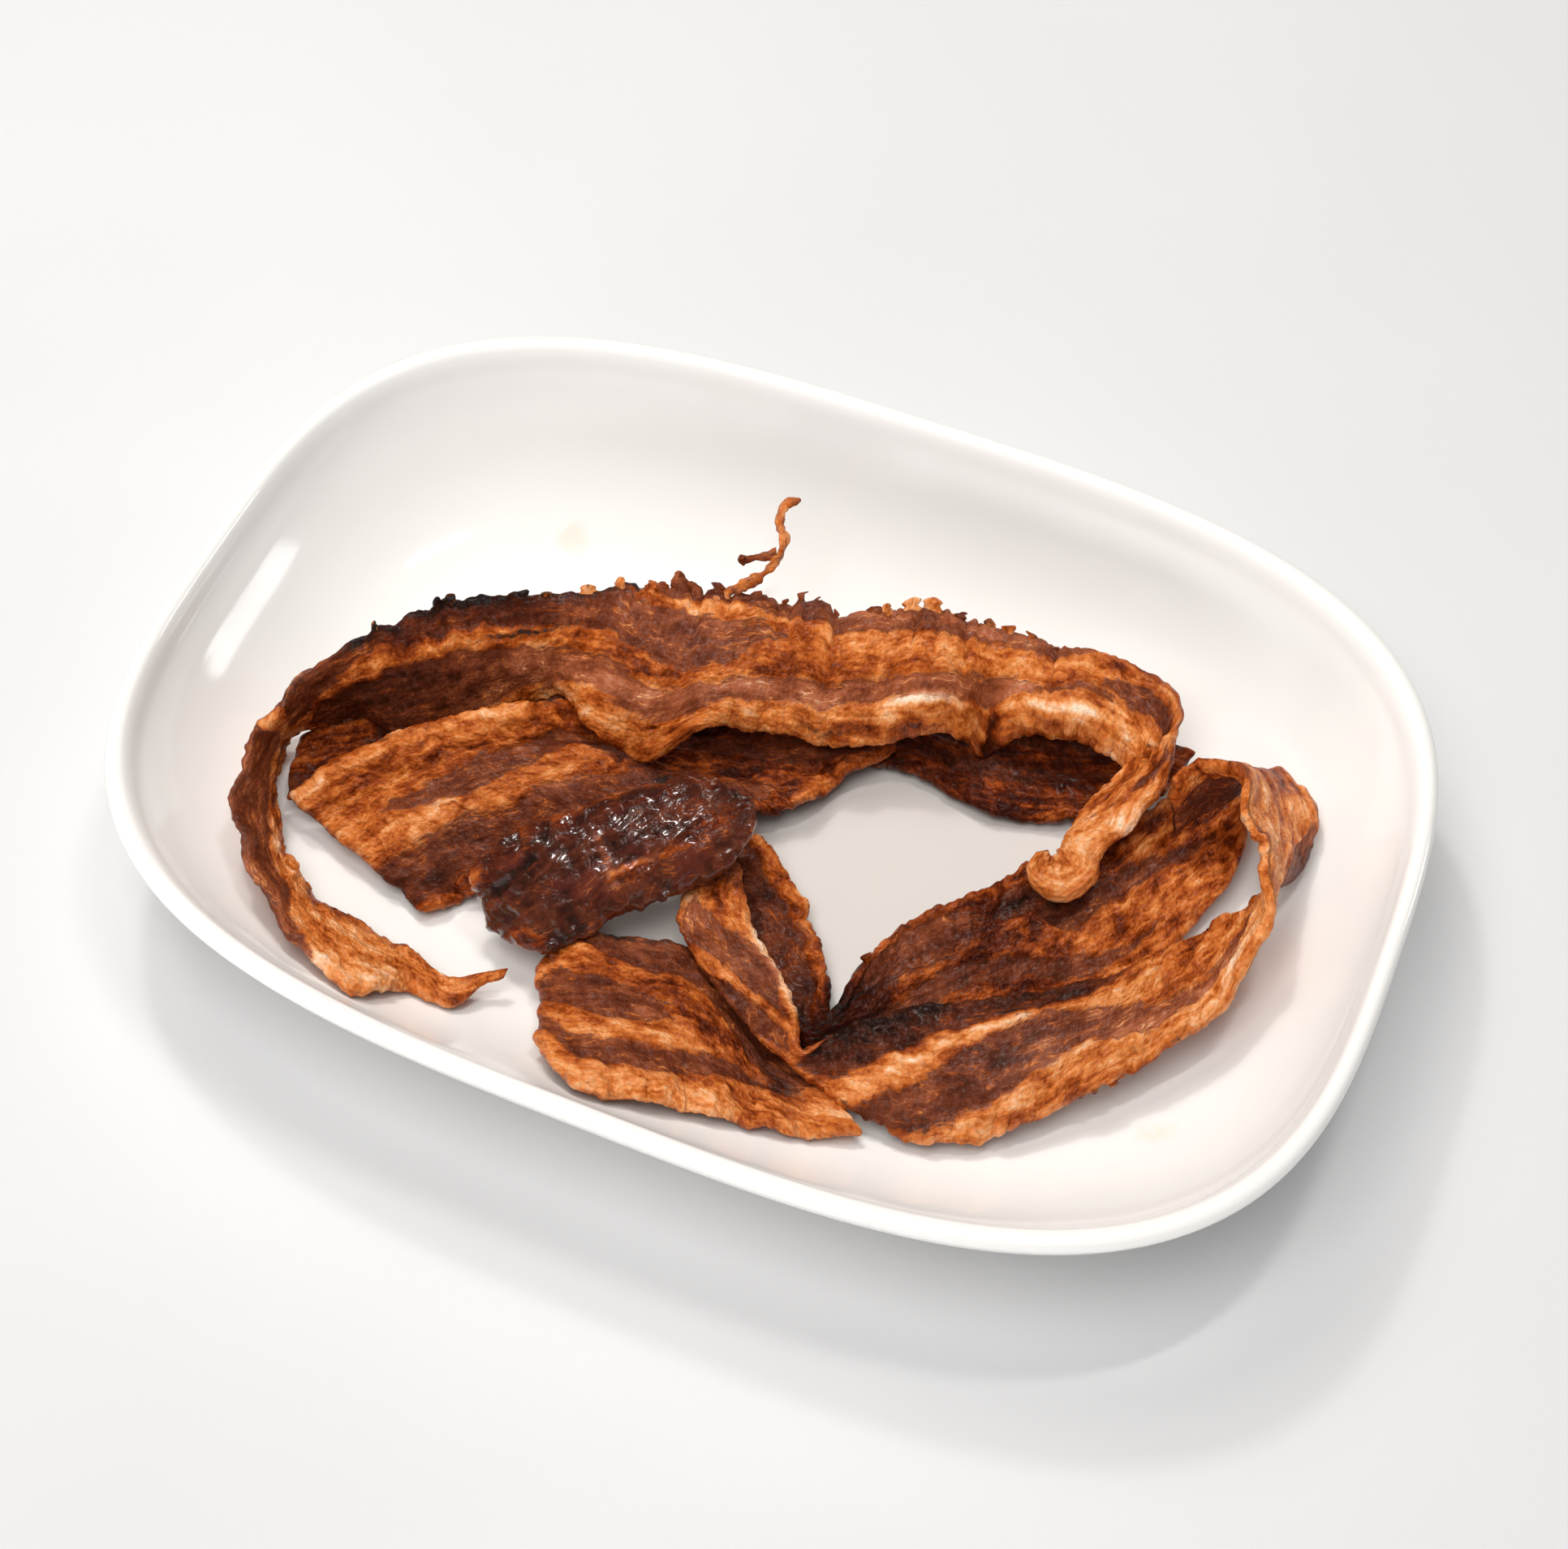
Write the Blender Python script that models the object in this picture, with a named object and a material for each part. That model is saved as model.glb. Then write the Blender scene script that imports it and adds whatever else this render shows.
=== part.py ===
"""Fried bacon strips lying in a white porcelain serving dish.

The dish is a rounded rectangle (a superellipse) whose wall flares up from a
low foot ring to a rounded lip.  Each strip is a ribbon of fried bacon: two
edges run through a few stations, the face between them is cupped, the edges
are ruffled, and the section is a thin lens with blunt rims.

Lengths are millimetres in the tables and are turned into metres by MM.
+X runs along the dish, +Z is up, and the origin is the middle of the foot.
"""

import math

import bpy
import bmesh
import numpy as np

MM = 0.001

# ---------------------------------------------------------------- the dish
DISH_LENGTH = 260.0
DISH_WIDTH = 184.2
DISH_HEIGHT = 37.0
RIM_SQUARENESS = 3.17      # superellipse exponent of the rim
FLOOR_SQUARENESS = 2.82    # and of the floor, which is rounder
ROUNDING_INSET = 46.0      # inset at which the floor's exponent is reached
FOOT_INSET = 31.0          # outer edge of the foot ring, in from the rim
FOOT_WIDTH = 5.0
FOOT_RISE = 1.6            # the underside inside the ring clears the table
FLOOR_TOP = 6.5
FLOOR_INSET = 58.0         # where the floor is quite flat
DISH_SEGMENTS = 52

# (inset from the rim, depth below the top), down the inner wall
INNER_WALL = (
    (1.9, 0.0), (3.1, 0.4), (3.8, 1.6), (5.4, 6.2), (8.2, 11.1), (12.6, 16.6),
    (18.5, 22.1), (25.5, 26.6), (33.5, 29.4), (44.0, 30.4),
)
# and up the outer wall
OUTER_WALL = (
    (24.5, 30.6), (16.0, 25.4), (9.8, 19.6), (5.2, 13.8), (2.1, 8.6),
    (0.4, 4.0), (0.0, 1.9), (0.7, 0.5),
)

# ---------------------------------------------------------------- the strips
THICKNESS = 2.2            # of a fried strip, away from its rims
RIM_THICKNESS = 1.2
TIE = 0.35                 # how far the edges' own length sets the spacing

# A station is one cross-section: the far (or upper) edge x, y, z, the near
# (or lower) edge x, y, z, and how far the face bulges between them.

LONG_STRIP = (
    (-32.0, -59.5, 14.0, -32.0, -58.0, 14.5, 0.0),   # thread-like tip
    (-35.6, -62.9, 14.0, -36.6, -61.3, 14.3, 0.0),
    (-37.5, -68.3, 14.4, -40.5, -64.0, 14.2, 0.0),   # kink
    (-49.0, -71.0, 17.0, -52.5, -62.0, 13.0, 0.6),   # narrow twist
    (-52.5, -78.0, 24.0, -61.5, -60.5, 13.5, 1.2),   # up the near wall
    (-68.0, -74.0, 26.0, -74.0, -59.0, 14.5, 1.0),
    (-86.0, -62.0, 28.0, -86.5, -51.5, 14.5, 0.6),   # round the left end
    (-95.5, -50.5, 29.0, -94.0, -41.5, 13.5, 0.6),
    (-97.5, -33.0, 30.5, -100.0, -25.5, 13.5, 0.0),  # pinch
    (-95.5, -17.5, 31.0, -91.0, -15.5, 14.5, 0.6),
    (-86.0, -3.0, 31.5, -77.5, -14.0, 13.5, 1.5),
    (-75.0, 9.0, 32.5, -63.0, -3.0, 12.5, 2.0),      # behind the middle strip
    (-54.5, 19.5, 32.5, -50.0, 5.5, 17.0, 2.5),
    (-43.5, 25.3, 32.6, -41.0, -1.0, 20.5, 2.8),     # over the middle strip
    (-33.0, 30.0, 32.5, -26.5, -2.0, 18.5, 3.0),
    (-13.5, 36.0, 31.5, -6.5, 11.5, 20.0, 3.0),
    (6.5, 42.0, 30.5, 11.0, 17.0, 18.5, 3.0),
    (24.5, 47.5, 30.0, 30.5, 28.0, 20.5, 2.5),
    (44.0, 48.5, 30.0, 48.0, 33.5, 20.5, 2.0),       # arch
    (59.5, 50.0, 30.0, 61.0, 34.0, 21.5, 2.2),
    (72.5, 45.5, 28.0, 69.5, 29.5, 20.0, 3.0),
    (74.5, 33.0, 24.0, 63.0, 24.0, 18.5, 1.0),       # curls back on itself
    (72.5, 19.5, 21.5, 61.5, 18.5, 17.5, 1.2),
    (68.0, 12.5, 18.5, 60.5, 12.0, 16.5, 1.2),
    (68.5, 5.0, 17.0, 60.0, 8.0, 17.0, 1.0),
    (63.5, -1.0, 17.0, 59.5, 6.3, 17.5, 0.6),
    (58.3, -0.4, 18.0, 59.0, 5.8, 18.5, 0.2),
    (56.0, 2.0, 19.5, 58.5, 5.6, 19.8, 0.0),
    (56.2, 4.9, 21.0, 58.2, 6.0, 21.0, 0.0),         # little scroll
)

MIDDLE_STRIP = (
    (-91.5, -39.5, 15.0, -55.0, -49.5, 9.0, 0.0),    # slanting cut end
    (-83.5, -27.5, 19.0, -47.0, -41.5, 10.0, 1.5),
    (-66.5, -12.0, 21.0, -34.0, -27.0, 12.0, 2.0),
    (-53.3, -2.5, 20.5, -21.5, -18.0, 12.8, 1.0),
    (-46.8, 4.6, 14.4, -14.5, -12.5, 12.6, 0.3),
    (-38.0, 7.0, 12.8, -6.5, -6.0, 12.5, 0.0),
    (-11.5, 18.0, 12.2, 6.0, 3.0, 12.0, 0.0),
    (6.5, 24.0, 12.5, 13.5, 16.0, 12.2, 0.0),
    (16.5, 26.5, 12.8, 19.0, 23.0, 12.8, 0.0),
)

GLAZED_STRIP = (
    (-32.0, -29.5, 20.0, -24.0, -40.0, 14.0, 0.0),   # turned-under end
    (-40.0, -39.5, 18.5, -33.0, -48.0, 13.0, 0.0),
    (-45.5, -43.0, 20.5, -39.0, -50.5, 14.5, 0.0),   # fold
    (-42.0, -36.5, 24.5, -28.0, -53.0, 17.0, 1.5),
    (-30.0, -25.0, 26.0, -15.5, -40.0, 19.0, 3.0),
    (-20.0, -15.5, 27.0, -7.5, -32.0, 19.5, 3.0),
    (-10.5, -8.5, 26.0, -0.5, -23.0, 21.0, 2.0),
    (-0.5, -7.5, 24.0, 2.0, -11.5, 23.0, 0.0),
)

FRONT_STRIP = (
    (-8.0, -43.5, 9.0, 3.5, -66.0, 14.0, 0.0),       # turned-under end
    (-22.0, -52.0, 9.5, -10.0, -71.0, 17.5, 0.0),
    (-26.0, -54.5, 12.0, -16.5, -73.5, 20.0, 0.0),   # fold
    (-24.0, -46.5, 14.8, -6.5, -80.0, 24.5, 1.0),
    (-14.0, -42.5, 15.0, 5.0, -77.0, 22.0, 1.5),
    (0.5, -39.0, 13.0, 16.0, -73.0, 18.0, 1.0),
    (18.5, -48.5, 10.0, 30.0, -70.0, 15.5, -1.0),
    (36.0, -53.0, 9.2, 45.0, -63.0, 12.8, 0.0),
)

LOOPED_STRIP = (
    (-1.0, -16.5, 14.0, -8.0, -23.5, 13.5, 0.0),
    (10.5, -33.5, 17.0, -2.5, -37.5, 17.0, 1.0),     # comes down to the front
    (19.0, -39.5, 16.5, 8.5, -47.0, 16.5, 1.0),
    (25.5, -47.0, 15.0, 20.0, -52.5, 14.5, 0.5),
    (29.0, -52.5, 15.5, 26.5, -54.5, 13.5, 0.0),     # sharp turn
    (34.5, -46.0, 16.5, 36.0, -57.5, 13.5, 0.5),
    (44.0, -38.0, 17.0, 49.5, -60.5, 13.0, 1.5),
    (56.0, -30.5, 17.5, 63.5, -57.5, 12.5, 2.5),     # broad front
    (74.0, -19.0, 17.5, 77.0, -45.5, 14.5, 2.0),
    (86.5, -6.5, 17.5, 91.5, -30.0, 18.0, 1.0),
    (96.0, 6.5, 17.0, 102.5, -11.5, 24.0, 0.5),      # stands up on edge
    (102.0, 15.0, 16.5, 103.5, 4.0, 31.0, 0.5),
    (107.0, 27.0, 18.0, 99.5, 13.5, 33.0, 1.0),      # loop at the right end
    (103.0, 40.0, 18.5, 93.5, 22.0, 33.5, 1.0),
    (95.5, 44.0, 18.5, 89.5, 30.5, 33.5, 0.5),
    (87.5, 33.5, 19.0, 82.5, 31.0, 32.5, 0.0),
    (81.0, 21.0, 20.0, 76.5, 24.5, 31.0, 0.0),       # end turned back inside
)

BACK_STRIP = (
    (-0.5, -7.0, 11.0, -10.5, -18.0, 10.0, 0.0),
    (14.5, -19.0, 11.0, 1.0, -29.5, 9.2, 0.5),
    (24.5, -31.0, 11.0, 14.5, -40.0, 9.0, 0.5),
    (31.0, -41.5, 11.5, 27.5, -48.0, 9.0, 0.0),      # sharp turn
    (32.0, -33.5, 13.5, 36.5, -46.5, 9.0, 0.0),
    (35.5, -20.5, 14.0, 46.5, -39.5, 9.0, -0.5),
    (47.5, -6.5, 14.0, 59.5, -29.0, 9.2, -0.8),
    (62.0, 14.5, 13.2, 79.5, -13.0, 10.2, -0.8),
    (74.5, 30.0, 13.4, 88.5, 3.0, 12.5, -0.3),
    (84.5, 37.5, 14.2, 93.5, 20.0, 13.8, 0.0),
    (91.5, 37.5, 14.8, 94.0, 30.5, 14.5, 0.0),
)

UNDER_STRIP = (
    (-98.0, -24.0, 12.5, -93.5, -37.5, 13.0, 0.0),
    (-90.0, -14.0, 12.0, -81.0, -31.0, 9.5, 0.5),
    (-68.0, 3.5, 9.2, -59.0, -14.5, 8.8, 0.0),
    (-36.0, 17.0, 8.7, -28.5, 1.0, 8.3, 0.0),
    (-3.0, 29.5, 9.0, 3.0, 15.0, 8.7, 0.0),
    (16.5, 34.0, 10.3, 23.0, 21.0, 8.8, 0.3),
    (31.0, 37.5, 11.5, 39.5, 18.0, 9.0, 0.8),
    (46.5, 41.0, 12.8, 54.5, 21.0, 9.2, 0.8),
    (61.5, 44.0, 14.0, 68.5, 27.5, 10.3, 0.5),
    (77.5, 43.5, 16.5, 75.5, 34.5, 14.0, 0.0),
)

# name: stations, rings along, points across one face, ruffle height,
# ruffle wavelength, phase, colour of the lean and fat blend
STRIPS = {
    "strip_long": (LONG_STRIP, 84, 6, 0.7, 17.0, 0.4, (0.36, 0.10, 0.03)),
    "strip_middle": (MIDDLE_STRIP, 34, 6, 0.7, 15.0, 1.1, (0.40, 0.13, 0.04)),
    "strip_glazed": (GLAZED_STRIP, 32, 6, 0.6, 9.0, 2.0, (0.10, 0.02, 0.012)),
    "strip_front": (FRONT_STRIP, 30, 6, 0.5, 14.0, 0.7, (0.33, 0.10, 0.035)),
    "strip_looped": (LOOPED_STRIP, 60, 6, 0.5, 16.0, 1.9, (0.30, 0.08, 0.03)),
    "strip_back": (BACK_STRIP, 40, 6, 0.5, 14.0, 2.6, (0.28, 0.09, 0.03)),
    "strip_under": (UNDER_STRIP, 34, 5, 0.4, 18.0, 0.2, (0.24, 0.08, 0.02)),
}

# Waves along the near side of the long strip: distance from the tail's tip,
# lift of the edge, shift of the edge away from the near side, swelling of the
# face just inside the edge, and half length.
LONG_WAVES = (
    (179.0, -1.5, -0.5, 0.0, 6.0),
    (193.0, 5.5, 2.0, 0.5, 7.5),     # crest over the middle strip
    (237.0, 0.5, 0.0, 3.5, 6.5),     # crest before the arch
    (251.0, -7.0, -2.0, -2.0, 5.0),  # hollow between them
    (268.0, 0.0, 0.0, 5.0, 10.0),    # the arch itself
)

# The loose shred that stands up from the long strip's far edge.
SHRED = (
    (-25.0, 28.5, 31.8), (-23.5, 34.5, 32.0), (-20.0, 39.0, 32.2),
    (-17.5, 44.5, 33.2), (-18.3, 50.1, 33.7), (-20.9, 54.2, 34.0),
    (-21.4, 58.3, 34.2), (-19.0, 61.2, 34.2),
)
SHRED_RADIUS = 0.9
SHRED_SIDES = 8


def hermite(keys, spacing, count):
    """A smooth run of `count` rows through the key rows."""
    keys = np.asarray(keys, float)
    gap = np.diff(spacing)[:, None]
    slope = np.diff(keys, axis=0) / gap
    tangent = np.empty_like(keys)
    tangent[1:-1] = (slope[:-1] * gap[1:] + slope[1:] * gap[:-1]) / (gap[1:] + gap[:-1])
    tangent[0], tangent[-1] = slope[0], slope[-1]
    along = np.linspace(0.0, spacing[-1], count)
    i = np.clip(np.searchsorted(spacing, along, side="right") - 1, 0, len(keys) - 2)
    u = ((along - spacing[i]) / gap[i, 0])[:, None]
    h = gap[i]
    return (
        (2 * u**3 - 3 * u**2 + 1) * keys[i]
        + (u**3 - 2 * u**2 + u) * h * tangent[i]
        + (3 * u**2 - 2 * u**3) * keys[i + 1]
        + (u**3 - u**2) * h * tangent[i + 1]
    )


def station_spacing(keys):
    keys = np.asarray(keys, float)
    middle = (keys[:, 0:3] + keys[:, 3:6]) / 2
    step = np.linalg.norm(np.diff(middle, axis=0), axis=1)
    edges = np.linalg.norm(np.diff(keys[:, :6], axis=0), axis=1)
    return np.concatenate([[0.0], np.cumsum(step + TIE * edges)])


def unit(v):
    return v / np.maximum(np.linalg.norm(v, axis=-1, keepdims=True), 1e-9)


def ribbon_surface(keys, rings, columns, ruffle, wavelength, phase, waves=()):
    """Middle surface (rings, columns, 3) of a strip, and its unit normals."""
    rows = hermite(keys, station_spacing(keys), rings)
    far, near, cup = rows[:, 0:3], rows[:, 3:6], rows[:, 6]
    middle = (far + near) / 2
    run = np.concatenate(
        [[0.0], np.cumsum(np.linalg.norm(np.diff(middle, axis=0), axis=1))]
    )
    swelling, shift = np.zeros(rings), np.zeros((rings, 3))
    for at, lift, back, swell, half in waves:
        bump = np.exp(-(((run - at) / half) ** 2))
        shift += bump[:, None] * np.array([0.0, back, lift])
        swelling += swell * bump
    tangent = unit(np.gradient(middle, axis=0))
    across = near - far
    normal = unit(np.cross(across, tangent))
    t = np.linspace(-1.0, 1.0, columns)
    surface = (
        far[:, None, :] * (1 - t)[None, :, None] / 2
        + near[:, None, :] * (1 + t)[None, :, None] / 2
        + shift[:, None, :] * (((1 + t) / 2) ** 2.5)[None, :, None]
    )
    wave = ruffle * (
        np.sin(2 * math.pi * run / wavelength + phase)[:, None]
        * np.clip(t, 0, 1)[None, :] ** 2
        + np.sin(2 * math.pi * run / (wavelength * 0.83) + phase + 2.0)[:, None]
        * np.clip(-t, 0, 1)[None, :] ** 2
    )
    width = np.linalg.norm(across, axis=1)
    calm = np.clip(width / 12.0, 0.0, 1.0)[:, None]
    lift = cup[:, None] * (1 - t**2)[None, :] + wave * calm
    lift += swelling[:, None] * (0.59 * (1 - t) * (1 + t) ** 3)[None, :]
    surface = surface + lift[:, :, None] * normal[:, None, :]
    du = np.gradient(surface, axis=0)
    dv = np.gradient(surface, axis=1)
    return surface, unit(np.cross(dv, du))


def ribbon_rings(surface, normal):
    """Closed cross-sections: along one face, and back along the other."""
    rings, columns = surface.shape[:2]
    t = np.linspace(-1.0, 1.0, columns)
    width = np.linalg.norm(surface[:, -1] - surface[:, 0], axis=1)
    full = RIM_THICKNESS + (THICKNESS - RIM_THICKNESS) * np.sqrt(
        np.clip(1 - t**4, 0, 1)
    )
    slim = np.clip(width / 6.0, 0.55, 1.0)
    half = 0.5 * full[None, :] * slim[:, None]
    upper = surface + normal * half[:, :, None]
    lower = surface - normal * half[:, :, None]
    return np.concatenate([upper, lower[:, ::-1]], axis=1)


def tube_rings(route, radius, sides, count):
    route = np.asarray(route, float)
    spacing = np.concatenate(
        [[0.0], np.cumsum(np.linalg.norm(np.diff(route, axis=0), axis=1))]
    )
    line = hermite(route, spacing, count)
    tangent = unit(np.gradient(line, axis=0))
    side = unit(np.cross(tangent, np.array([0.3, 0.2, 1.0])))
    up = np.cross(side, tangent)
    taper = np.interp(np.linspace(0, 1, count), [0, 0.15, 0.9, 1], [1.5, 1, 1, 0.6])
    turn = np.arange(sides) * 2 * math.pi / sides
    circle = np.cos(turn)[None, :, None] * side[:, None] + np.sin(turn)[
        None, :, None
    ] * up[:, None]
    return line[:, None] + circle * (radius * taper)[:, None, None]


def dish_ring(inset, depth):
    """One level of the dish: a rounded rectangle pulled in by `inset`."""
    a, b = DISH_LENGTH / 2 - inset, DISH_WIDTH / 2 - inset
    share = min(inset / ROUNDING_INSET, 1.0)
    n = RIM_SQUARENESS + (FLOOR_SQUARENESS - RIM_SQUARENESS) * share
    ring = []
    for k in range(DISH_SEGMENTS):
        # Equal steps of a stretched angle keep the corners well covered.
        turn = 2 * math.pi * k / DISH_SEGMENTS
        c, s = math.cos(turn), math.sin(turn)
        r = (abs(c) ** n + abs(s) ** n) ** (-1 / n)
        ring.append((a * r * c, b * r * s, DISH_HEIGHT - depth))
    return ring


def loft(name, rings, colour, roughness, closed_ends=True, coat=0.0):
    """One closed solid through the rings, in order."""
    mesh = bmesh.new()
    made = [[mesh.verts.new([c * MM for c in p]) for p in ring] for ring in rings]
    count = len(made[0])
    for first, second in zip(made, made[1:]):
        for k in range(count):
            j = (k + 1) % count
            mesh.faces.new((first[k], first[j], second[j], second[k]))
    if closed_ends:
        half = count // 2
        for ring, last in ((made[0], False), (made[-1], True)):
            for k in range(half - 1):
                quad = (ring[k], ring[k + 1], ring[count - 2 - k], ring[count - 1 - k])
                mesh.faces.new(quad if last else quad[::-1])
    bmesh.ops.recalc_face_normals(mesh, faces=mesh.faces)
    if mesh.calc_volume(signed=True) < 0:
        bmesh.ops.reverse_faces(mesh, faces=mesh.faces)
    data = bpy.data.meshes.new(name)
    mesh.to_mesh(data)
    mesh.free()
    data.shade_smooth()
    data.set_sharp_from_angle(angle=math.radians(50))
    thing = bpy.data.objects.new(name, data)
    bpy.context.scene.collection.objects.link(thing)
    material = bpy.data.materials.new(name)
    material.use_nodes = True
    shader = material.node_tree.nodes["Principled BSDF"]
    shader.inputs["Base Color"].default_value = (*colour, 1.0)
    shader.inputs["Roughness"].default_value = roughness
    shader.inputs["Metallic"].default_value = 0.0
    shader.inputs["Coat Weight"].default_value = coat
    data.materials.append(material)
    return thing


def strip_rings(name):
    keys, rings, columns, ruffle, wavelength, phase, _ = STRIPS[name]
    waves = LONG_WAVES if name == "strip_long" else ()
    return ribbon_rings(
        *ribbon_surface(keys, rings, columns, ruffle, wavelength, phase, waves)
    )


def dish_rings():
    foot = DISH_HEIGHT
    rings = [dish_ring(FLOOR_INSET, DISH_HEIGHT - FLOOR_TOP)]
    rings += [dish_ring(w, d) for w, d in reversed(INNER_WALL)]
    rings += [dish_ring(w, d) for w, d in reversed(OUTER_WALL)]
    rings += [
        dish_ring(FOOT_INSET, foot - 1.2),
        dish_ring(FOOT_INSET + 0.8, foot),
        dish_ring(FOOT_INSET + FOOT_WIDTH, foot),
        dish_ring(FOOT_INSET + FOOT_WIDTH + 1.2, foot - FOOT_RISE),
    ]
    return rings


def clear_scene():
    for thing in list(bpy.data.objects):
        bpy.data.objects.remove(thing, do_unlink=True)


def main():
    clear_scene()
    loft("dish", dish_rings(), (0.86, 0.84, 0.82), 0.12, coat=0.4)
    for name, row in STRIPS.items():
        glazed = name == "strip_glazed"
        loft(
            name,
            strip_rings(name),
            row[6],
            0.25 if glazed else 0.42,
            coat=0.6 if glazed else 0.2,
        )
    shred = loft(
        "shred_cutter",
        tube_rings(SHRED, SHRED_RADIUS, SHRED_SIDES, 12),
        STRIPS["strip_long"][6],
        0.42,
    )
    shred.hide_render = True
    shred.display_type = "WIRE"
    join = bpy.data.objects["strip_long"].modifiers.new("shred", "BOOLEAN")
    join.operation = "UNION"
    join.solver = "EXACT"
    join.object = shred


main()
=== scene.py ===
"""Looks of the fried bacon strips in their white porcelain dish.

The CAD's stations are repeated here, and each strip is built again from them
as a dense, uneven ribbon of fat and lean.  Tables are in millimetres.
"""

import math

import bpy
import numpy as np
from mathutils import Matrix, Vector


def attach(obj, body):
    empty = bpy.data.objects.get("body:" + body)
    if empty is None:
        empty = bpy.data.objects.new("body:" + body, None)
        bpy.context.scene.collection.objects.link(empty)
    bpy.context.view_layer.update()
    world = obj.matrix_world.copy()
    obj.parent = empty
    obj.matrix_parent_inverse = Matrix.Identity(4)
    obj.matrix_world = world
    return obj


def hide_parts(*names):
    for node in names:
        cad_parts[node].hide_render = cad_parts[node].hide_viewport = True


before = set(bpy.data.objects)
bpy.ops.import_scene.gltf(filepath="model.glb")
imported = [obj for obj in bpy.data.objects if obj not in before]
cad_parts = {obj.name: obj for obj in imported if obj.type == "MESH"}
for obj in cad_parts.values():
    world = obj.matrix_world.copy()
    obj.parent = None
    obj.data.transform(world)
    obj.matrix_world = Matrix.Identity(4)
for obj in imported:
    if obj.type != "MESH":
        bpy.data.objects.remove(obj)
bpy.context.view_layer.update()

MM = 0.001

# ============================================================ the CAD's sizes
DISH_LENGTH = 260.0
DISH_WIDTH = 184.2
DISH_HEIGHT = 37.0
RIM_SQUARENESS = 3.17
FLOOR_SQUARENESS = 2.82
ROUNDING_INSET = 46.0
FOOT_INSET = 31.0
FOOT_WIDTH = 5.0
FOOT_RISE = 1.6
FLOOR_TOP = 6.5

# Stations of each strip: far edge x, y, z, near edge x, y, z, and cup.
LONG_STRIP = (
    (-32.0, -59.5, 14.0, -32.0, -58.0, 14.5, 0.0),   # thread-like tip
    (-35.6, -62.9, 14.0, -36.6, -61.3, 14.3, 0.0),
    (-37.5, -68.3, 14.4, -40.5, -64.0, 14.2, 0.0),   # kink
    (-49.0, -71.0, 17.0, -52.5, -62.0, 13.0, 0.6),   # narrow twist
    (-52.5, -78.0, 24.0, -61.5, -60.5, 13.5, 1.2),   # up the near wall
    (-68.0, -74.0, 26.0, -74.0, -59.0, 14.5, 1.0),
    (-86.0, -62.0, 28.0, -86.5, -51.5, 14.5, 0.6),   # round the left end
    (-95.5, -50.5, 29.0, -94.0, -41.5, 13.5, 0.6),
    (-97.5, -33.0, 30.5, -100.0, -25.5, 13.5, 0.0),  # pinch
    (-95.5, -17.5, 31.0, -91.0, -15.5, 14.5, 0.6),
    (-86.0, -3.0, 31.5, -77.5, -14.0, 13.5, 1.5),
    (-75.0, 9.0, 32.5, -63.0, -3.0, 12.5, 2.0),      # behind the middle strip
    (-54.5, 19.5, 32.5, -50.0, 5.5, 17.0, 2.5),
    (-43.5, 25.3, 32.6, -41.0, -1.0, 20.5, 2.8),     # over the middle strip
    (-33.0, 30.0, 32.5, -26.5, -2.0, 18.5, 3.0),
    (-13.5, 36.0, 31.5, -6.5, 11.5, 20.0, 3.0),
    (6.5, 42.0, 30.5, 11.0, 17.0, 18.5, 3.0),
    (24.5, 47.5, 30.0, 30.5, 28.0, 20.5, 2.5),
    (44.0, 48.5, 30.0, 48.0, 33.5, 20.5, 2.0),       # arch
    (59.5, 50.0, 30.0, 61.0, 34.0, 21.5, 2.2),
    (72.5, 45.5, 28.0, 69.5, 29.5, 20.0, 3.0),
    (74.5, 33.0, 24.0, 63.0, 24.0, 18.5, 1.0),       # curls back on itself
    (72.5, 19.5, 21.5, 61.5, 18.5, 17.5, 1.2),
    (68.0, 12.5, 18.5, 60.5, 12.0, 16.5, 1.2),
    (68.5, 5.0, 17.0, 60.0, 8.0, 17.0, 1.0),
    (63.5, -1.0, 17.0, 59.5, 6.3, 17.5, 0.6),
    (58.3, -0.4, 18.0, 59.0, 5.8, 18.5, 0.2),
    (56.0, 2.0, 19.5, 58.5, 5.6, 19.8, 0.0),
    (56.2, 4.9, 21.0, 58.2, 6.0, 21.0, 0.0),         # little scroll
)

MIDDLE_STRIP = (
    (-91.5, -39.5, 15.0, -55.0, -49.5, 9.0, 0.0),    # slanting cut end
    (-83.5, -27.5, 19.0, -47.0, -41.5, 10.0, 1.5),
    (-66.5, -12.0, 21.0, -34.0, -27.0, 12.0, 2.0),
    (-53.3, -2.5, 20.5, -21.5, -18.0, 12.8, 1.0),
    (-46.8, 4.6, 14.4, -14.5, -12.5, 12.6, 0.3),
    (-38.0, 7.0, 12.8, -6.5, -6.0, 12.5, 0.0),
    (-11.5, 18.0, 12.2, 6.0, 3.0, 12.0, 0.0),
    (6.5, 24.0, 12.5, 13.5, 16.0, 12.2, 0.0),
    (16.5, 26.5, 12.8, 19.0, 23.0, 12.8, 0.0),
)

GLAZED_STRIP = (
    (-32.0, -29.5, 20.0, -24.0, -40.0, 14.0, 0.0),   # turned-under end
    (-40.0, -39.5, 18.5, -33.0, -48.0, 13.0, 0.0),
    (-45.5, -43.0, 20.5, -39.0, -50.5, 14.5, 0.0),   # fold
    (-42.0, -36.5, 24.5, -28.0, -53.0, 17.0, 1.5),
    (-30.0, -25.0, 26.0, -15.5, -40.0, 19.0, 3.0),
    (-20.0, -15.5, 27.0, -7.5, -32.0, 19.5, 3.0),
    (-10.5, -8.5, 26.0, -0.5, -23.0, 21.0, 2.0),
    (-0.5, -7.5, 24.0, 2.0, -11.5, 23.0, 0.0),
)

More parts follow.
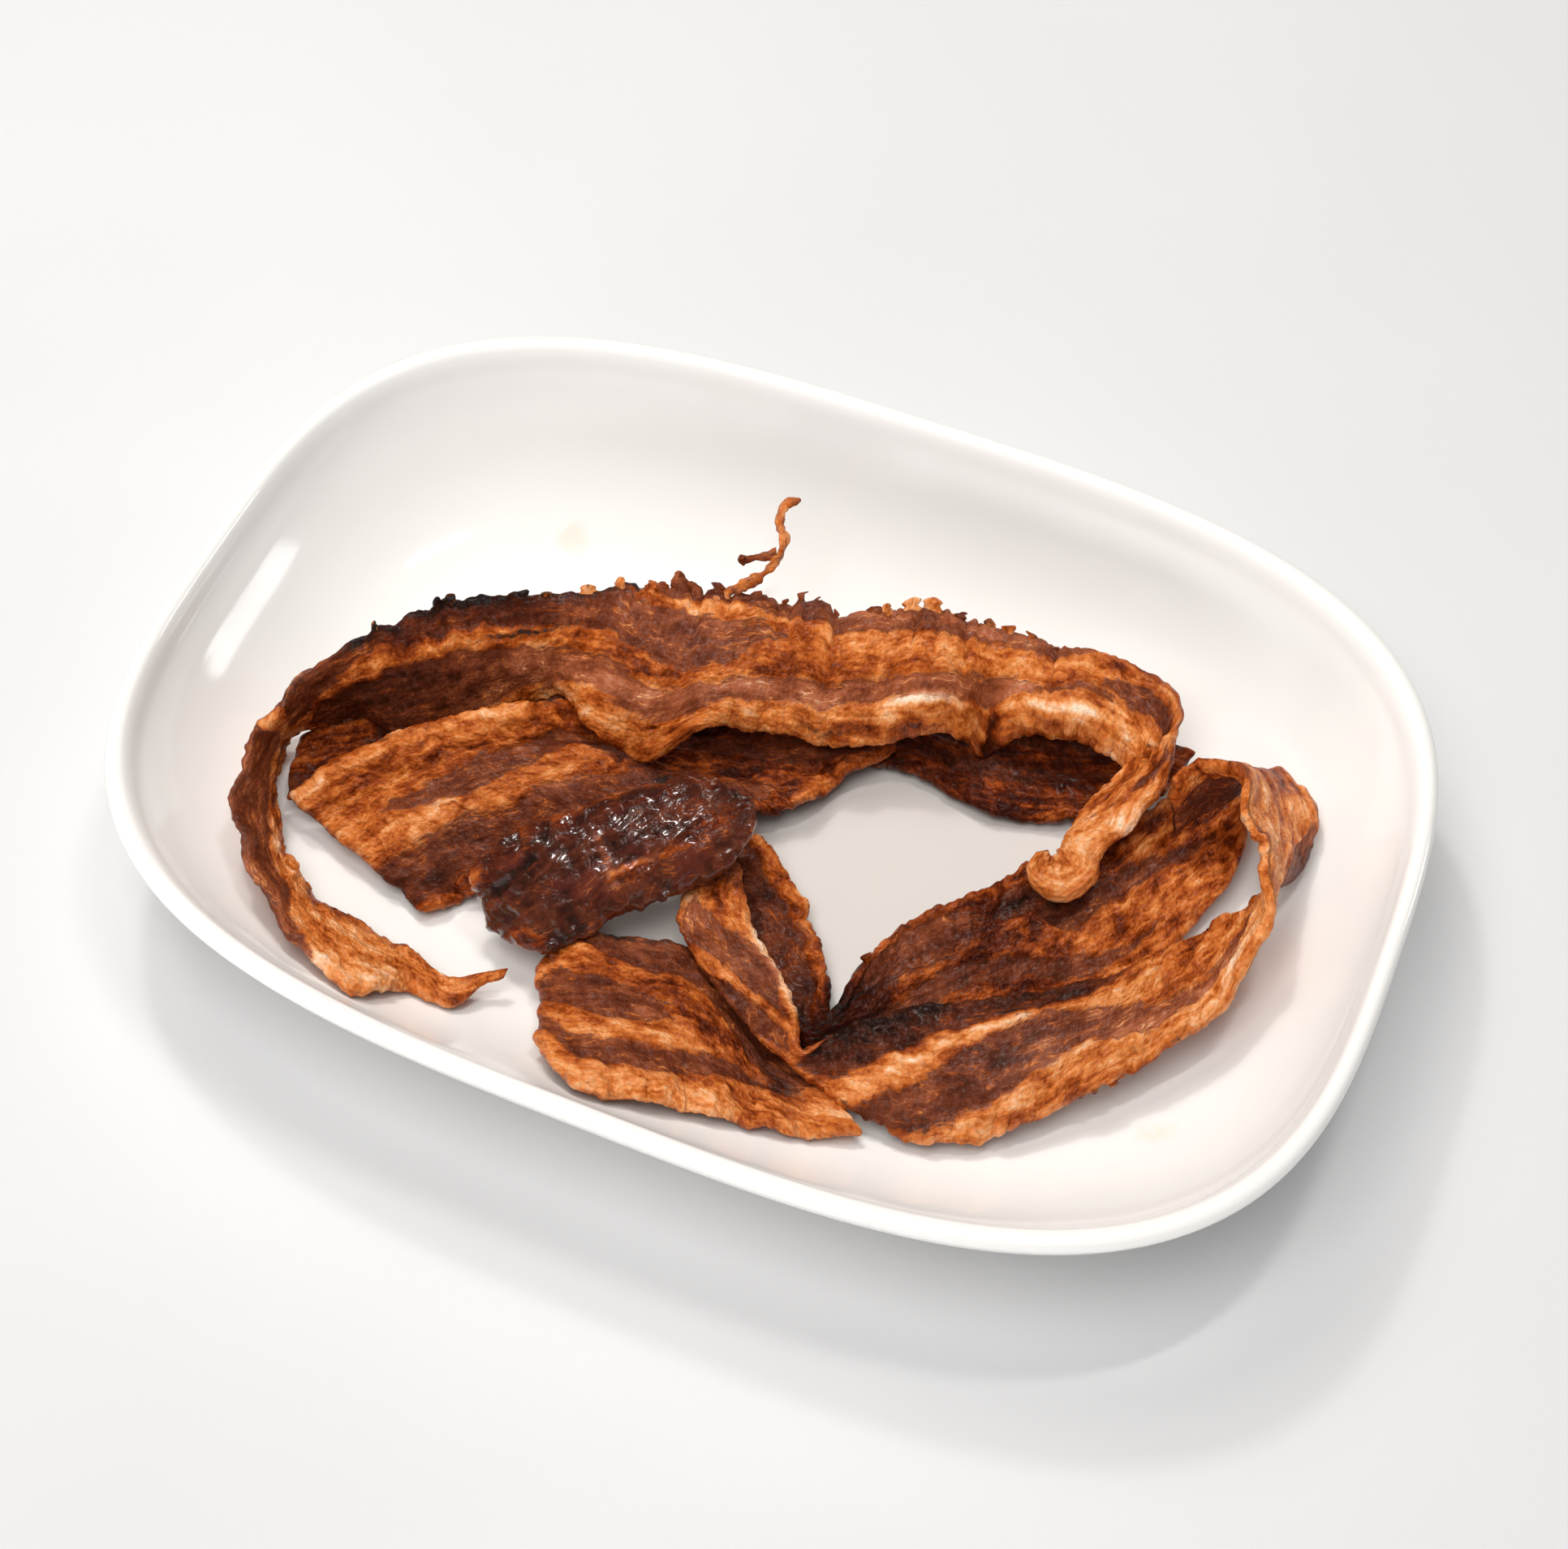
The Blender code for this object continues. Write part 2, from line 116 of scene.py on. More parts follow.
FRONT_STRIP = (
    (-8.0, -43.5, 9.0, 3.5, -66.0, 14.0, 0.0),       # turned-under end
    (-22.0, -52.0, 9.5, -10.0, -71.0, 17.5, 0.0),
    (-26.0, -54.5, 12.0, -16.5, -73.5, 20.0, 0.0),   # fold
    (-24.0, -46.5, 14.8, -6.5, -80.0, 24.5, 1.0),
    (-14.0, -42.5, 15.0, 5.0, -77.0, 22.0, 1.5),
    (0.5, -39.0, 13.0, 16.0, -73.0, 18.0, 1.0),
    (18.5, -48.5, 10.0, 30.0, -70.0, 15.5, -1.0),
    (36.0, -53.0, 9.2, 45.0, -63.0, 12.8, 0.0),
)

LOOPED_STRIP = (
    (-1.0, -16.5, 14.0, -8.0, -23.5, 13.5, 0.0),
    (10.5, -33.5, 17.0, -2.5, -37.5, 17.0, 1.0),     # comes down to the front
    (19.0, -39.5, 16.5, 8.5, -47.0, 16.5, 1.0),
    (25.5, -47.0, 15.0, 20.0, -52.5, 14.5, 0.5),
    (29.0, -52.5, 15.5, 26.5, -54.5, 13.5, 0.0),     # sharp turn
    (34.5, -46.0, 16.5, 36.0, -57.5, 13.5, 0.5),
    (44.0, -38.0, 17.0, 49.5, -60.5, 13.0, 1.5),
    (56.0, -30.5, 17.5, 63.5, -57.5, 12.5, 2.5),     # broad front
    (74.0, -19.0, 17.5, 77.0, -45.5, 14.5, 2.0),
    (86.5, -6.5, 17.5, 91.5, -30.0, 18.0, 1.0),
    (96.0, 6.5, 17.0, 102.5, -11.5, 24.0, 0.5),      # stands up on edge
    (102.0, 15.0, 16.5, 103.5, 4.0, 31.0, 0.5),
    (107.0, 27.0, 18.0, 99.5, 13.5, 33.0, 1.0),      # loop at the right end
    (103.0, 40.0, 18.5, 93.5, 22.0, 33.5, 1.0),
    (95.5, 44.0, 18.5, 89.5, 30.5, 33.5, 0.5),
    (87.5, 33.5, 19.0, 82.5, 31.0, 32.5, 0.0),
    (81.0, 21.0, 20.0, 76.5, 24.5, 31.0, 0.0),       # end turned back inside
)

BACK_STRIP = (
    (-0.5, -7.0, 11.0, -10.5, -18.0, 10.0, 0.0),
    (14.5, -19.0, 11.0, 1.0, -29.5, 9.2, 0.5),
    (24.5, -31.0, 11.0, 14.5, -40.0, 9.0, 0.5),
    (31.0, -41.5, 11.5, 27.5, -48.0, 9.0, 0.0),      # sharp turn
    (32.0, -33.5, 13.5, 36.5, -46.5, 9.0, 0.0),
    (35.5, -20.5, 14.0, 46.5, -39.5, 9.0, -0.5),
    (47.5, -6.5, 14.0, 59.5, -29.0, 9.2, -0.8),
    (62.0, 14.5, 13.2, 79.5, -13.0, 10.2, -0.8),
    (74.5, 30.0, 13.4, 88.5, 3.0, 12.5, -0.3),
    (84.5, 37.5, 14.2, 93.5, 20.0, 13.8, 0.0),
    (91.5, 37.5, 14.8, 94.0, 30.5, 14.5, 0.0),
)

UNDER_STRIP = (
    (-98.0, -24.0, 12.5, -93.5, -37.5, 13.0, 0.0),
    (-90.0, -14.0, 12.0, -81.0, -31.0, 9.5, 0.5),
    (-68.0, 3.5, 9.2, -59.0, -14.5, 8.8, 0.0),
    (-36.0, 17.0, 8.7, -28.5, 1.0, 8.3, 0.0),
    (-3.0, 29.5, 9.0, 3.0, 15.0, 8.7, 0.0),
    (16.5, 34.0, 10.3, 23.0, 21.0, 8.8, 0.3),
    (31.0, 37.5, 11.5, 39.5, 18.0, 9.0, 0.8),
    (46.5, 41.0, 12.8, 54.5, 21.0, 9.2, 0.8),
    (61.5, 44.0, 14.0, 68.5, 27.5, 10.3, 0.5),
    (77.5, 43.5, 16.5, 75.5, 34.5, 14.0, 0.0),
)

# Waves along the near side of the long strip: distance from the tail's tip,
# lift of the edge, shift of the edge away from the near side, swelling of the
# face just inside the edge, and half length.
LONG_WAVES = (
    (179.0, -1.5, -0.5, 0.0, 6.0),
    (193.0, 5.5, 2.0, 0.5, 7.5),     # crest over the middle strip
    (237.0, 0.5, 0.0, 3.5, 6.5),     # crest before the arch
    (251.0, -7.0, -2.0, -2.0, 5.0),  # hollow between them
    (268.0, 0.0, 0.0, 5.0, 10.0),    # the arch itself
)

# The loose shred that stands up from the long strip's far edge.
SHRED = (
    (-25.0, 28.5, 31.8), (-23.5, 34.5, 32.0), (-20.0, 39.0, 32.2),
    (-17.5, 44.5, 33.2), (-18.3, 50.1, 33.7), (-20.9, 54.2, 34.0),
    (-21.4, 58.3, 34.2), (-19.0, 61.2, 34.2),
)

SHRED_BRANCH = ((-18.0, 45.7, 33.4), (-20.3, 44.6, 33.2), (-22.6, 43.2, 32.9), (-25.2, 41.9, 32.8))

# ==================================================== where the lean bands lie
# Each band is (millimetres along the strip, low, high), where low and high are places across it: -1 is the far edge and
# +1 the near one. Two of the bands are painted shadows drawn as lean, marked below.
LEAN = {
    "strip_long": (
        ((42, -1.2, -1.0), (50, -1.2, -0.5), (53, -1.2, 0.05), (60, -1.2, -0.05),
         (66, -1.2, 0.2), (75, -1.2, 0.35), (86, -1.2, 0.3), (92, -1.2, 0.2), (95, -0.3, -0.2)),
        ((96, -0.2, 0.1), (99, -1.2, 0.15), (104, -1.2, -0.1), (110, -1.2, -0.5),
         (118, -1.2, -0.65), (130, -1.2, -0.6), (145, -1.2, -0.5), (158, -1.2, -0.35),
         (166, -1.0, -0.28), (178, -0.78, -0.15), (188, -0.65, 0.03), (195, -0.6, 0.0),
         (202, -0.55, -0.3), (207, -0.45, -0.42)),
        ((100, 0.5, 0.6), (106, 0.0, 1.2), (115, -0.25, 1.2), (125, -0.3, 1.0),
         (140, -0.22, 0.72), (150, -0.1, 0.66), (160, 0.05, 0.7), (170, 0.05, 0.55),
         (180, 0.15, 0.6), (190, 0.3, 0.72), (200, 0.25, 0.62), (210, 0.2, 0.58),
         (220, 0.12, 0.5), (232, 0.05, 0.42), (240, 0.12, 0.5), (248, -0.02, 0.55),
         (254, -0.08, 0.3), (262, -0.08, 0.12), (270, -0.12, 0.08), (277, -0.1, -0.06)),
        ((166, -1.2, -1.0), (176, -1.2, -0.92), (190, -1.2, -0.84), (205, -1.2, -0.76),
         (212, -1.2, -0.72), (222, -1.2, -0.62), (240, -1.2, -0.56), (255, -1.2, -0.6),
         (266, -1.2, -0.68), (271, -1.2, -1.0)),
        ((275, -0.3, -0.3), (281, -0.62, -0.05), (288, -0.68, -0.12), (294, -0.5, -0.45)),
        # This thin band across the tail is a painted crease shadow between the lip and the tail, drawn as lean.
        ((297, -0.9, -0.8), (303, -0.5, -0.2), (309, 0.1, 0.4), (313, 0.8, 0.9)),
    ),
    "strip_middle": (
        ((9, -0.25, -0.2), (14, -0.33, -0.08), (22, -0.36, -0.05), (30, -0.36, -0.06),
         (37, -0.42, -0.12), (45, -0.56, -0.3), (52, -0.7, -0.36), (57, -0.6, -0.2), (62, -0.2, -0.05)),
        ((-1, 0.2, 0.9), (6, 0.3, 0.9), (12, 0.3, 0.82), (20, 0.22, 0.68), (30, 0.3, 0.6),
         (40, 0.15, 0.54), (50, 0.1, 0.45), (60, 0.15, 0.4), (68, 0.25, 0.3)),
        ((24, 0.84, 0.9), (32, 0.76, 1.0), (42, 0.68, 1.0), (52, 0.55, 1.0), (60, 0.5, 0.95), (68, 0.4, 0.9), (80, 0.4, 0.9), (88, 0.6, 0.7)),
        # This band on the middle strip's right part is the painted shadow of the long strip's edge, drawn as lean.
        ((66, -0.5, -0.4), (74, -0.8, -0.4), (84, -0.75, -0.2), (94, -0.5, 0.2), (104, -0.2, 0.5), (112, 0.1, 0.4)),
    ),
    "strip_glazed": (
        ((-1, -0.8, 0.9), (10, -0.75, 0.95), (16, -0.2, 0.8), (22, -0.2, 0.85), (27, -0.75, 0.5),
         (36, -0.82, 0.9), (46, -0.8, 0.3), (56, -0.78, 0.38), (60, -0.7, 0.1), (68, -0.8, -0.15), (79, -0.7, -0.3)),
        ((28, 0.6, 0.6), (34, 0.8, 1.0), (44, 0.45, 1.1), (54, 0.52, 1.1), (62, 0.3, 1.1), (70, 0.05, 1.1), (79, 0.1, 1.1)),
    ),
    "strip_front": (
        ((24, -1.2, -1.05), (32, -1.2, -0.78), (38, -1.2, -0.62), (45, -1.2, -0.52), (52, -1.2, -0.48),
         (58, -1.2, -0.3), (66, -1.2, -0.1), (76, -1.2, 0.1), (82, -0.8, -0.2)),
        ((-1, -0.6, 0.1), (10, -0.6, 0.15), (18, -0.5, 0.05), (24, -0.58, -0.1), (28, -0.56, 0.0), (32, -0.42, 0.13),
         (38, -0.28, 0.2), (44, -0.22, 0.2), (48, -0.1, 0.05)),
        ((-1, 0.55, 0.8), (12, 0.5, 0.8), (20, 0.2, 0.6), (25, 0.2, 0.56), (29, 0.36, 0.68), (36, 0.42, 0.76), (45, 0.42, 0.74),
         (55, 0.34, 0.62), (62, 0.24, 0.46), (70, 0.1, 0.3), (78, 0.15, 0.2)),
    ),
    "strip_looped": (
        ((9, 0.55, 0.62), (13, 0.3, 1.0), (18, -0.2, 1.0), (22, -0.8, 0.75), (28, -1.1, 0.38),
         (33, -1.0, 0.1), (38, -0.6, -0.2), (41, -0.6, -0.5)),
        ((26, 0.95, 1.2), (30, 0.68, 1.2), (35, 0.36, 1.2), (40, 0.0, 1.2), (44, -0.6, 0.8), (47, -0.4, 0.2)),
        ((50, -0.7, 0.8), (56, -1.2, 0.55), (60, -1.2, 0.3), (65, -1.2, -0.05), (70, -1.2, -0.34), (75, -1.2, -0.48),
         (80, -1.2, -0.54), (86, -1.2, -0.64), (94, -1.2, -0.7), (104, -1.2, -0.7), (110, -1.2, -0.8), (116, -1.2, -1.0)),
        ((61, 1.0, 1.05), (66, 0.56, 1.2), (71, 0.28, 0.95), (76, 0.0, 0.85), (81, -0.2, 0.72), (86, -0.4, 0.6),
         (91, -0.52, 0.5), (96, -0.6, 0.38), (102, -0.45, 0.22), (108, -0.4, 0.15), (114, -0.25, 0.4), (121, 0.0, 0.52),
         (130, 0.18, 0.55), (139, 0.1, 0.48), (146, 0.0, 0.3), (149, 0.1, 0.15)),
        ((152, -1.2, -0.8), (158, -1.2, 0.0), (165, -1.2, -0.2), (170, -1.2, -0.8)),
        ((186, -0.9, -0.7), (190, -1.2, 0.35), (196, -1.2, 0.5), (203, -1.2, 0.2), (207, -1.2, 0.0)),
    ),
    "strip_back": (
        ((-1, -0.6, 0.2), (8, -0.72, 0.22), (20, -0.72, 0.2), (32, -0.75, 0.25), (40, -0.6, 0.3), (46, -0.2, 0.1)),
        ((6, 0.6, 1.2), (18, 0.55, 1.2), (34, 0.55, 1.2), (44, 0.7, 1.2), (47, 0.9, 1.0)),
        ((52, -0.6, -0.4), (57, -0.85, -0.3), (63, -0.92, -0.18), (72, -0.92, -0.16), (80, -0.9, -0.18), (85, -0.7, -0.4)),
        ((87, -0.6, -0.55), (91, -0.85, -0.35), (96, -0.8, -0.4), (99, -0.6, -0.5)),
        ((98, -0.3, -0.25), (102, -0.55, 0.0), (108, -0.55, 0.05), (114, -0.45, -0.05), (122, -0.3, 0.02), (134, -0.22, 0.1), (142, -0.1, 0.0)),
        ((50, 0.2, 0.3), (58, 0.1, 0.7), (66, 0.22, 0.8), (74, 0.06, 0.5), (82, 0.0, 0.42), (90, 0.1, 0.44), (98, 0.28, 0.6),
         (108, 0.5, 0.8), (118, 0.55, 0.75), (126, 0.6, 0.65)),
    ),
    "strip_under": (
        ((-1, 0.3, 0.9), (10, 0.45, 1.0), (22, 0.5, 1.1), (40, 0.4, 1.1), (60, 0.5, 0.9), (80, 0.4, 0.8), (100, 0.3, 0.7)),
        ((18, -0.6, -0.2), (40, -0.6, -0.1), (70, -0.5, 0.0), (100, -0.5, -0.2), (110, -0.4, -0.3)),
        ((110, -0.7, -0.65), (124, -0.8, -0.45), (140, -0.7, -0.3), (158, -0.72, -0.36), (172, -0.7, -0.4), (180, -0.6, -0.5)),
        ((112, 0.1, 0.15), (124, -0.05, 0.3), (140, -0.02, 0.36), (156, 0.0, 0.34), (170, 0.05, 0.3), (182, 0.1, 0.2)),
    ),
}

# Spots: (along, across place, reach along, reach across in mm, strength).
# Tone lifts or darkens the colour: partly the meat's own tone, partly painted highlight on crests and lips and painted
# shade in hollows, in folds, under lips and on the strips lying under others. Char blackens it, wet makes it shine.
TONE = {
    "strip_long": (
        (25, -0.2, 16, 8, 0.25), (30, -0.7, 6, 3, 0.4), (95, 0, 2.0, 9, 0.2), (60, 0.3, 26, 2.0, 0.35), (76, -0.3, 26, 5, 0.15),
        (76, -1.0, 30, 1.6, 0.4), (14, 0.9, 16, 2.0, -0.4), (36, 0.9, 12, 2.0, -0.3), (125, 0.2, 18, 9, -0.5), (137, -0.9, 25, 5, -0.55), (170, 0.35, 22, 4.5, 0.35),
        # Crest lines along the near lip (236, 237, 262, 267) are painted highlight; the dark spots under the lip (237
        # and 267 at 0.95), in the hollow between the crests (251.5, 252) and at the pinch (304) are painted shade.
        (205, 0.4, 30, 3.5, 0.15), (206, 0.95, 26, 2.5, -0.35), (228, -0.25, 24, 3.5, 0.35), (236, 0.60, 6, 2, 0.75), (262, 0.35, 12, 3, 0.6),
        (258, 0.1, 6, 3, 0.3), (281, 0.3, 8, 6, 0.3), (222, 0.8, 9, 2, -0.5), (248, 0.75, 4, 3, -0.25),
        (237, 0.5, 8, 0.9, 1.6), (267, 0.42, 13, 0.9, 1.2), (237, 0.95, 12, 4, -0.35), (267, 0.95, 16, 5, -0.35), (251.5, 0.85, 2.5, 4, -1.6),
        (252, 0.45, 3, 3, -0.7), (215, 0.0, 40, 6, -0.3),
        (320, 0, 16, 9, 0.35), (318, 0, 22, 20, 0.35),  (168, 0.86, 8, 1.0, 0.8), (188, -0.8, 22, 2.0, 0.25), (136, -0.9, 22, 4, -0.6), (304, 0, 5, 9, -0.35),
    ),
    "strip_middle": (
        (10, -0.9, 12, 2.0, 0.3), (30, -0.9, 30, 2.0, 0.5), (30, -0.62, 24, 3.0, -0.2), (14, 0.05, 7, 5, 0.55), (30, 0.1, 16, 3, 0.45), (54, -0.2, 8, 3, 0.25),
        # The dark spot at 84 mm by the far edge is the painted shadow of the long strip's edge.
        (33, -0.22, 3.5, 4, 0.3), (6, 0.75, 8, 6, -0.25), (20, 0.35, 6, 4, -0.3), (84, -0.8, 18, 4, -0.8), (95, 0.3, 22, 12, -0.25),
        (66, 0.3, 8, 7, -0.35), (1.5, -0.4, 3, 16, 0.2), (34, 0.8, 40, 6, -0.5), (16, 0.3, 9, 4, 0.25),
    ),
    "strip_glazed": (
        (10, 0.0, 8, 12, 0.5), (32, 0.65, 3, 2, 0.7), (52, 0.30, 9, 0.8, 1.8), (46, 0.05, 1.0, 5, 1.5), (40, 0, 40, 20, -0.9), (62, -0.2, 14, 6, -0.1),
    ),
    "strip_front": (
        (24, 0.95, 22, 3, 0.45), (46, 0.95, 24, 4, 0.35), (24, -0.65, 4, 2.5, 0.35), (34, 0.3, 12, 3, 0.3), (52, -0.8, 9, 5, -0.3),
        # The dark spot at 72 mm is painted shade in the fold by the looped strip.
        (72, -0.1, 8, 7, -0.55), (78, 0.7, 12, 6, 0.1), (27, 0.2, 5, 3, 0.3), (60, 0, 14, 6, -0.15),
    ),
    "strip_looped": (
        (22, -0.95, 12, 1.2, 1.4), (38, -0.95, 9, 1.2, 1.2), (20, 0.1, 12, 3, -0.25),
        (62, 0.50, 3, 1.1, 1.1), (67, 0.12, 3, 1.1, 1.1), (72, -0.1, 3.5, 1.1, 1.1), (78, -0.33, 4, 1.0, 1.0), (85, -0.5, 5, 1.0, 1.0), (93, -0.6, 5, 1.0, 0.9),
        # The dark spot at 5 mm is a painted shadow from the strip beside it.
        (8, 0.6, 8, 3, 0.75), (16, -0.5, 5, 5, 0.4), (5, -0.6, 7, 7, -0.6), (28, -0.3, 9, 9, 0.3), (47, 0, 3, 9, 0.4),
        (62, -0.4, 14, 9, -0.3), (66, 0.5, 6, 3, 0.35), (92, -0.1, 18, 6, -0.15), (84, -0.5, 26, 2.4, 0.15), (104, 0.6, 26, 4, 0.35),
        (138, 0.75, 12, 4, 0.85), (125, -0.3, 14, 6, 0.2), (148, 0.4, 6, 6, 0.3), (176, 0.2, 12, 10, 0.3), (161, -0.5, 6, 6, -0.4),
        (198, 0, 10, 10, -0.05), (54, 0.2, 4, 12, -0.3), (161, 0.3, 8, 8, 0.4), (58, -0.7, 12, 4, -0.6), (66, -0.75, 14, 7, -0.5), (84, -0.9, 18, 3, -0.7), (98, -0.9, 14, 3, -0.5),
    ),
    "strip_back": (
        # The darker spots on the back strip are painted shade where the loop and the strips around it cover it.
        (20, -0.9, 24, 2, 0.15), (30, 0.4, 24, 2, 0.1), (50, 0, 8, 16, -0.8), (75, -0.5, 14, 7, -0.15), (125, 0.6, 18, 8, 0.1),
        (118, 0.2, 12, 4, 0.2), (110, -0.3, 12, 6, -0.3), (138, -0.3, 14, 12, -0.35), (92, -0.1, 14, 12, -0.5), (20, 0.2, 24, 10, -0.4), (56, 0.1, 12, 12, -0.9),
    ),
    # The strip under the arch is darkened along its length: painted shade from the strips over it.
    "strip_under": ((12, 0.2, 14, 9, -0.2), (60, 0, 60, 20, -0.8), (140, 0, 60, 20, -0.8),),
}
# Pink lifts the lean alone.
PINK = {
    "strip_long": ((205, 0.3, 50, 6, 0.75), (262, 0.1, 22, 6, 0.5), (160, 0.3, 25, 6, 0.35), (200, -0.6, 26, 4, 0.3),
                   (240, -0.9, 30, 3, 0.35)),
    "strip_middle": ((30, 0.3, 20, 8, 0.3),),
    "strip_glazed": (),
    "strip_front": ((40, 0.3, 20, 6, 0.2),),
    "strip_looped": ((16, 0.6, 8, 6, 0.5), (120, 0.3, 18, 5, 0.8)),
    "strip_back": ((66, -0.5, 12, 6, 0.3),),
    "strip_under": (),
}
# Dim darkens the fat alone: where it has browned nearly to the lean's colour, and, on the strips lying under others
# (back, under), as painted shade.
DIM = {
    "strip_long": ((215, 0.0, 50, 5, -0.3), (148, 0.9, 20, 5, -0.2), (110, 0.0, 30, 20, -0.2)),
    "strip_middle": ((50, 0.3, 70, 40, -0.45), (90, 0, 24, 30, -0.4)),
    "strip_glazed": ((40, 0, 60, 40, -0.6),),
    "strip_front": ((62, -0.3, 24, 7, -0.7), (10, 0.0, 14, 20, -0.7)),
    "strip_looped": ((10, 0, 20, 20, -0.1), (176, 0.5, 10, 8, 0.3)),
    "strip_back": ((60, 0, 80, 40, -0.65),),
    "strip_under": ((80, 0, 120, 40, -0.6),),
}
CHAR = {
    "strip_long": ((139, -1.0, 16, 2.2, 0.75), (119, -1.0, 4, 1.6, 0.6), (150, -0.36, 10, 0.7, 0.8), (166, -1.0, 10, 1.6, 0.55),
                   (218, 0.85, 7, 1.2, 0.5), (255, -0.75, 4, 3, 0.35), (104, -1.0, 8, 1.2, 0.3)),
    "strip_middle": ((13, -0.1, 4, 3, 0.35), (64, 0.35, 4, 3, 0.7), (72, 0.5, 8, 3, 0.4), (16, 0.6, 4, 3, 0.3)),
    "strip_glazed": ((36, 0.92, 5, 1.5, 0.5), (66, -0.7, 8, 3, 0.3)),
    # The char at 73 mm on the front strip stands partly for painted shade in its fold.
    "strip_front": ((40, -1.0, 10, 2.5, 0.5), (73, 0.0, 6, 4, 0.55)),
    "strip_looped": ((74, 0.8, 7, 2.0, 0.45), (118, 0.7, 2.5, 1.5, 0.5), (165, -1.0, 6, 3, 0.3), (88, -0.72, 9, 0.6, 0.6)),
    "strip_back": ((50, 0.0, 5, 12, 0.5), (104, -0.4, 6, 4, 0.35), (68, 0.6, 8, 3, 0.3)),
    "strip_under": ((150, -1.0, 40, 4, 0.3),),
}
WET = {
    "strip_long": ((190, -0.2, 20, 5, 0.35), (205, 0.4, 25, 3.5, 0.5), (76, -1.0, 30, 2, 0.7), (262, 0.4, 12, 5, 0.5), (218, 0.8, 8, 2, 0.7)),
    "strip_middle": ((14, 0.4, 10, 10, 0.5), (30, 0.1, 20, 5, 0.3), (64, 0.3, 8, 6, 0.7)),
    "strip_glazed": ((40, 0, 60, 30, 1.0),),
    "strip_front": ((42, -0.9, 12, 5, 0.7), (46, 0.8, 20, 3, 0.3), (74, 0.0, 8, 6, 0.7)),
    "strip_looped": ((90, 0.1, 16, 8, 0.85), (74, 0.7, 9, 3, 0.6), (176, 0.2, 12, 10, 0.4), (28, -0.3, 9, 9, 0.3)),
    "strip_back": ((104, -0.3, 12, 6, 0.8), (92, -0.5, 8, 4, 0.5)),
    "strip_under": (),
}

# ================================================================ smooth noise
def lattice(ix, iy, seed):
    """A fixed scattered number from -1 to 1 for each grid point."""
    n = (ix.astype(np.int64) * 374761393 + iy.astype(np.int64) * 668265263
         + int(seed) * 974711 + 12345) & 0x7FFFFFFF
    n = ((n ^ (n >> 13)) * 1274126177) & 0x7FFFFFFF
    n = n ^ (n >> 16)
    return (n & 0xFFFF) / 32767.5 - 1.0


def noise(x, y, seed):
    x, y = np.broadcast_arrays(np.asarray(x, float), np.asarray(y, float))
    ix, iy = np.floor(x), np.floor(y)
    u, v = x - ix, y - iy
    u = u * u * u * (u * (u * 6 - 15) + 10)
    v = v * v * v * (v * (v * 6 - 15) + 10)
    a, b = lattice(ix, iy, seed), lattice(ix + 1, iy, seed)
    c, d = lattice(ix, iy + 1, seed), lattice(ix + 1, iy + 1, seed)
    return (a * (1 - u) + b * u) * (1 - v) + (c * (1 - u) + d * u) * v


def fractal(x, y, seed, octaves=3, keep=0.5):
    total, share = 0.0, 1.0
    for k in range(octaves):
        total = total + share * noise(x * 2.03**k, y * 2.03**k, seed + 17 * k)
        share *= keep
    return total


def ridged(x, y, seed):
    return 1.0 - 2.0 * np.abs(noise(x, y, seed))


def smooth(x, low, high):
    s = np.clip((x - low) / (high - low), 0.0, 1.0)
    return s * s * (3 - 2 * s)


def unit(v):
    return v / np.maximum(np.linalg.norm(v, axis=-1, keepdims=True), 1e-9)


# ==================================================== the CAD's own ribbon maths
TIE = 0.35


def hermite(keys, spacing, count):
    keys = np.asarray(keys, float)
    gap = np.diff(spacing)[:, None]
    slope = np.diff(keys, axis=0) / gap
    tangent = np.empty_like(keys)
    tangent[1:-1] = (slope[:-1] * gap[1:] + slope[1:] * gap[:-1]) / (gap[1:] + gap[:-1])
    tangent[0], tangent[-1] = slope[0], slope[-1]
    along = np.linspace(0.0, spacing[-1], count)
    i = np.clip(np.searchsorted(spacing, along, side="right") - 1, 0, len(keys) - 2)
    u = ((along - spacing[i]) / gap[i, 0])[:, None]
    h = gap[i]
    return (
        (2 * u**3 - 3 * u**2 + 1) * keys[i]
        + (u**3 - 2 * u**2 + u) * h * tangent[i]
        + (3 * u**2 - 2 * u**3) * keys[i + 1]
        + (u**3 - u**2) * h * tangent[i + 1]
    )


def station_spacing(keys):
    keys = np.asarray(keys, float)
    middle = (keys[:, 0:3] + keys[:, 3:6]) / 2
    step = np.linalg.norm(np.diff(middle, axis=0), axis=1)
    edges = np.linalg.norm(np.diff(keys[:, :6], axis=0), axis=1)
    return np.concatenate([[0.0], np.cumsum(step + TIE * edges)])


# name: stations, ruffle, wavelength and phase as in the CAD, fineness of the
# mesh in mm, raggedness of the far and near edge, waviness of the face
STRIPS = {
    "strip_long": (LONG_STRIP, 0.7, 17.0, 0.4, 0.515, 0.45, 0.45, 0.40),
    "strip_middle": (MIDDLE_STRIP, 0.7, 15.0, 1.1, 0.47, 0.45, 0.35, 0.75),
    "strip_glazed": (GLAZED_STRIP, 0.6, 9.0, 2.0, 0.40, 0.5, 0.5, 0.40),
    "strip_front": (FRONT_STRIP, 0.5, 14.0, 0.7, 0.47, 0.35, 0.5, 0.6),
    "strip_looped": (LOOPED_STRIP, 0.5, 16.0, 1.9, 0.47, 0.4, 0.55, 0.5),
    "strip_back": (BACK_STRIP, 0.5, 14.0, 2.6, 0.50, 0.6, 0.4, 0.6),
    "strip_under": (UNDER_STRIP, 0.4, 18.0, 0.2, 0.60, 0.4, 0.4, 0.3),
}

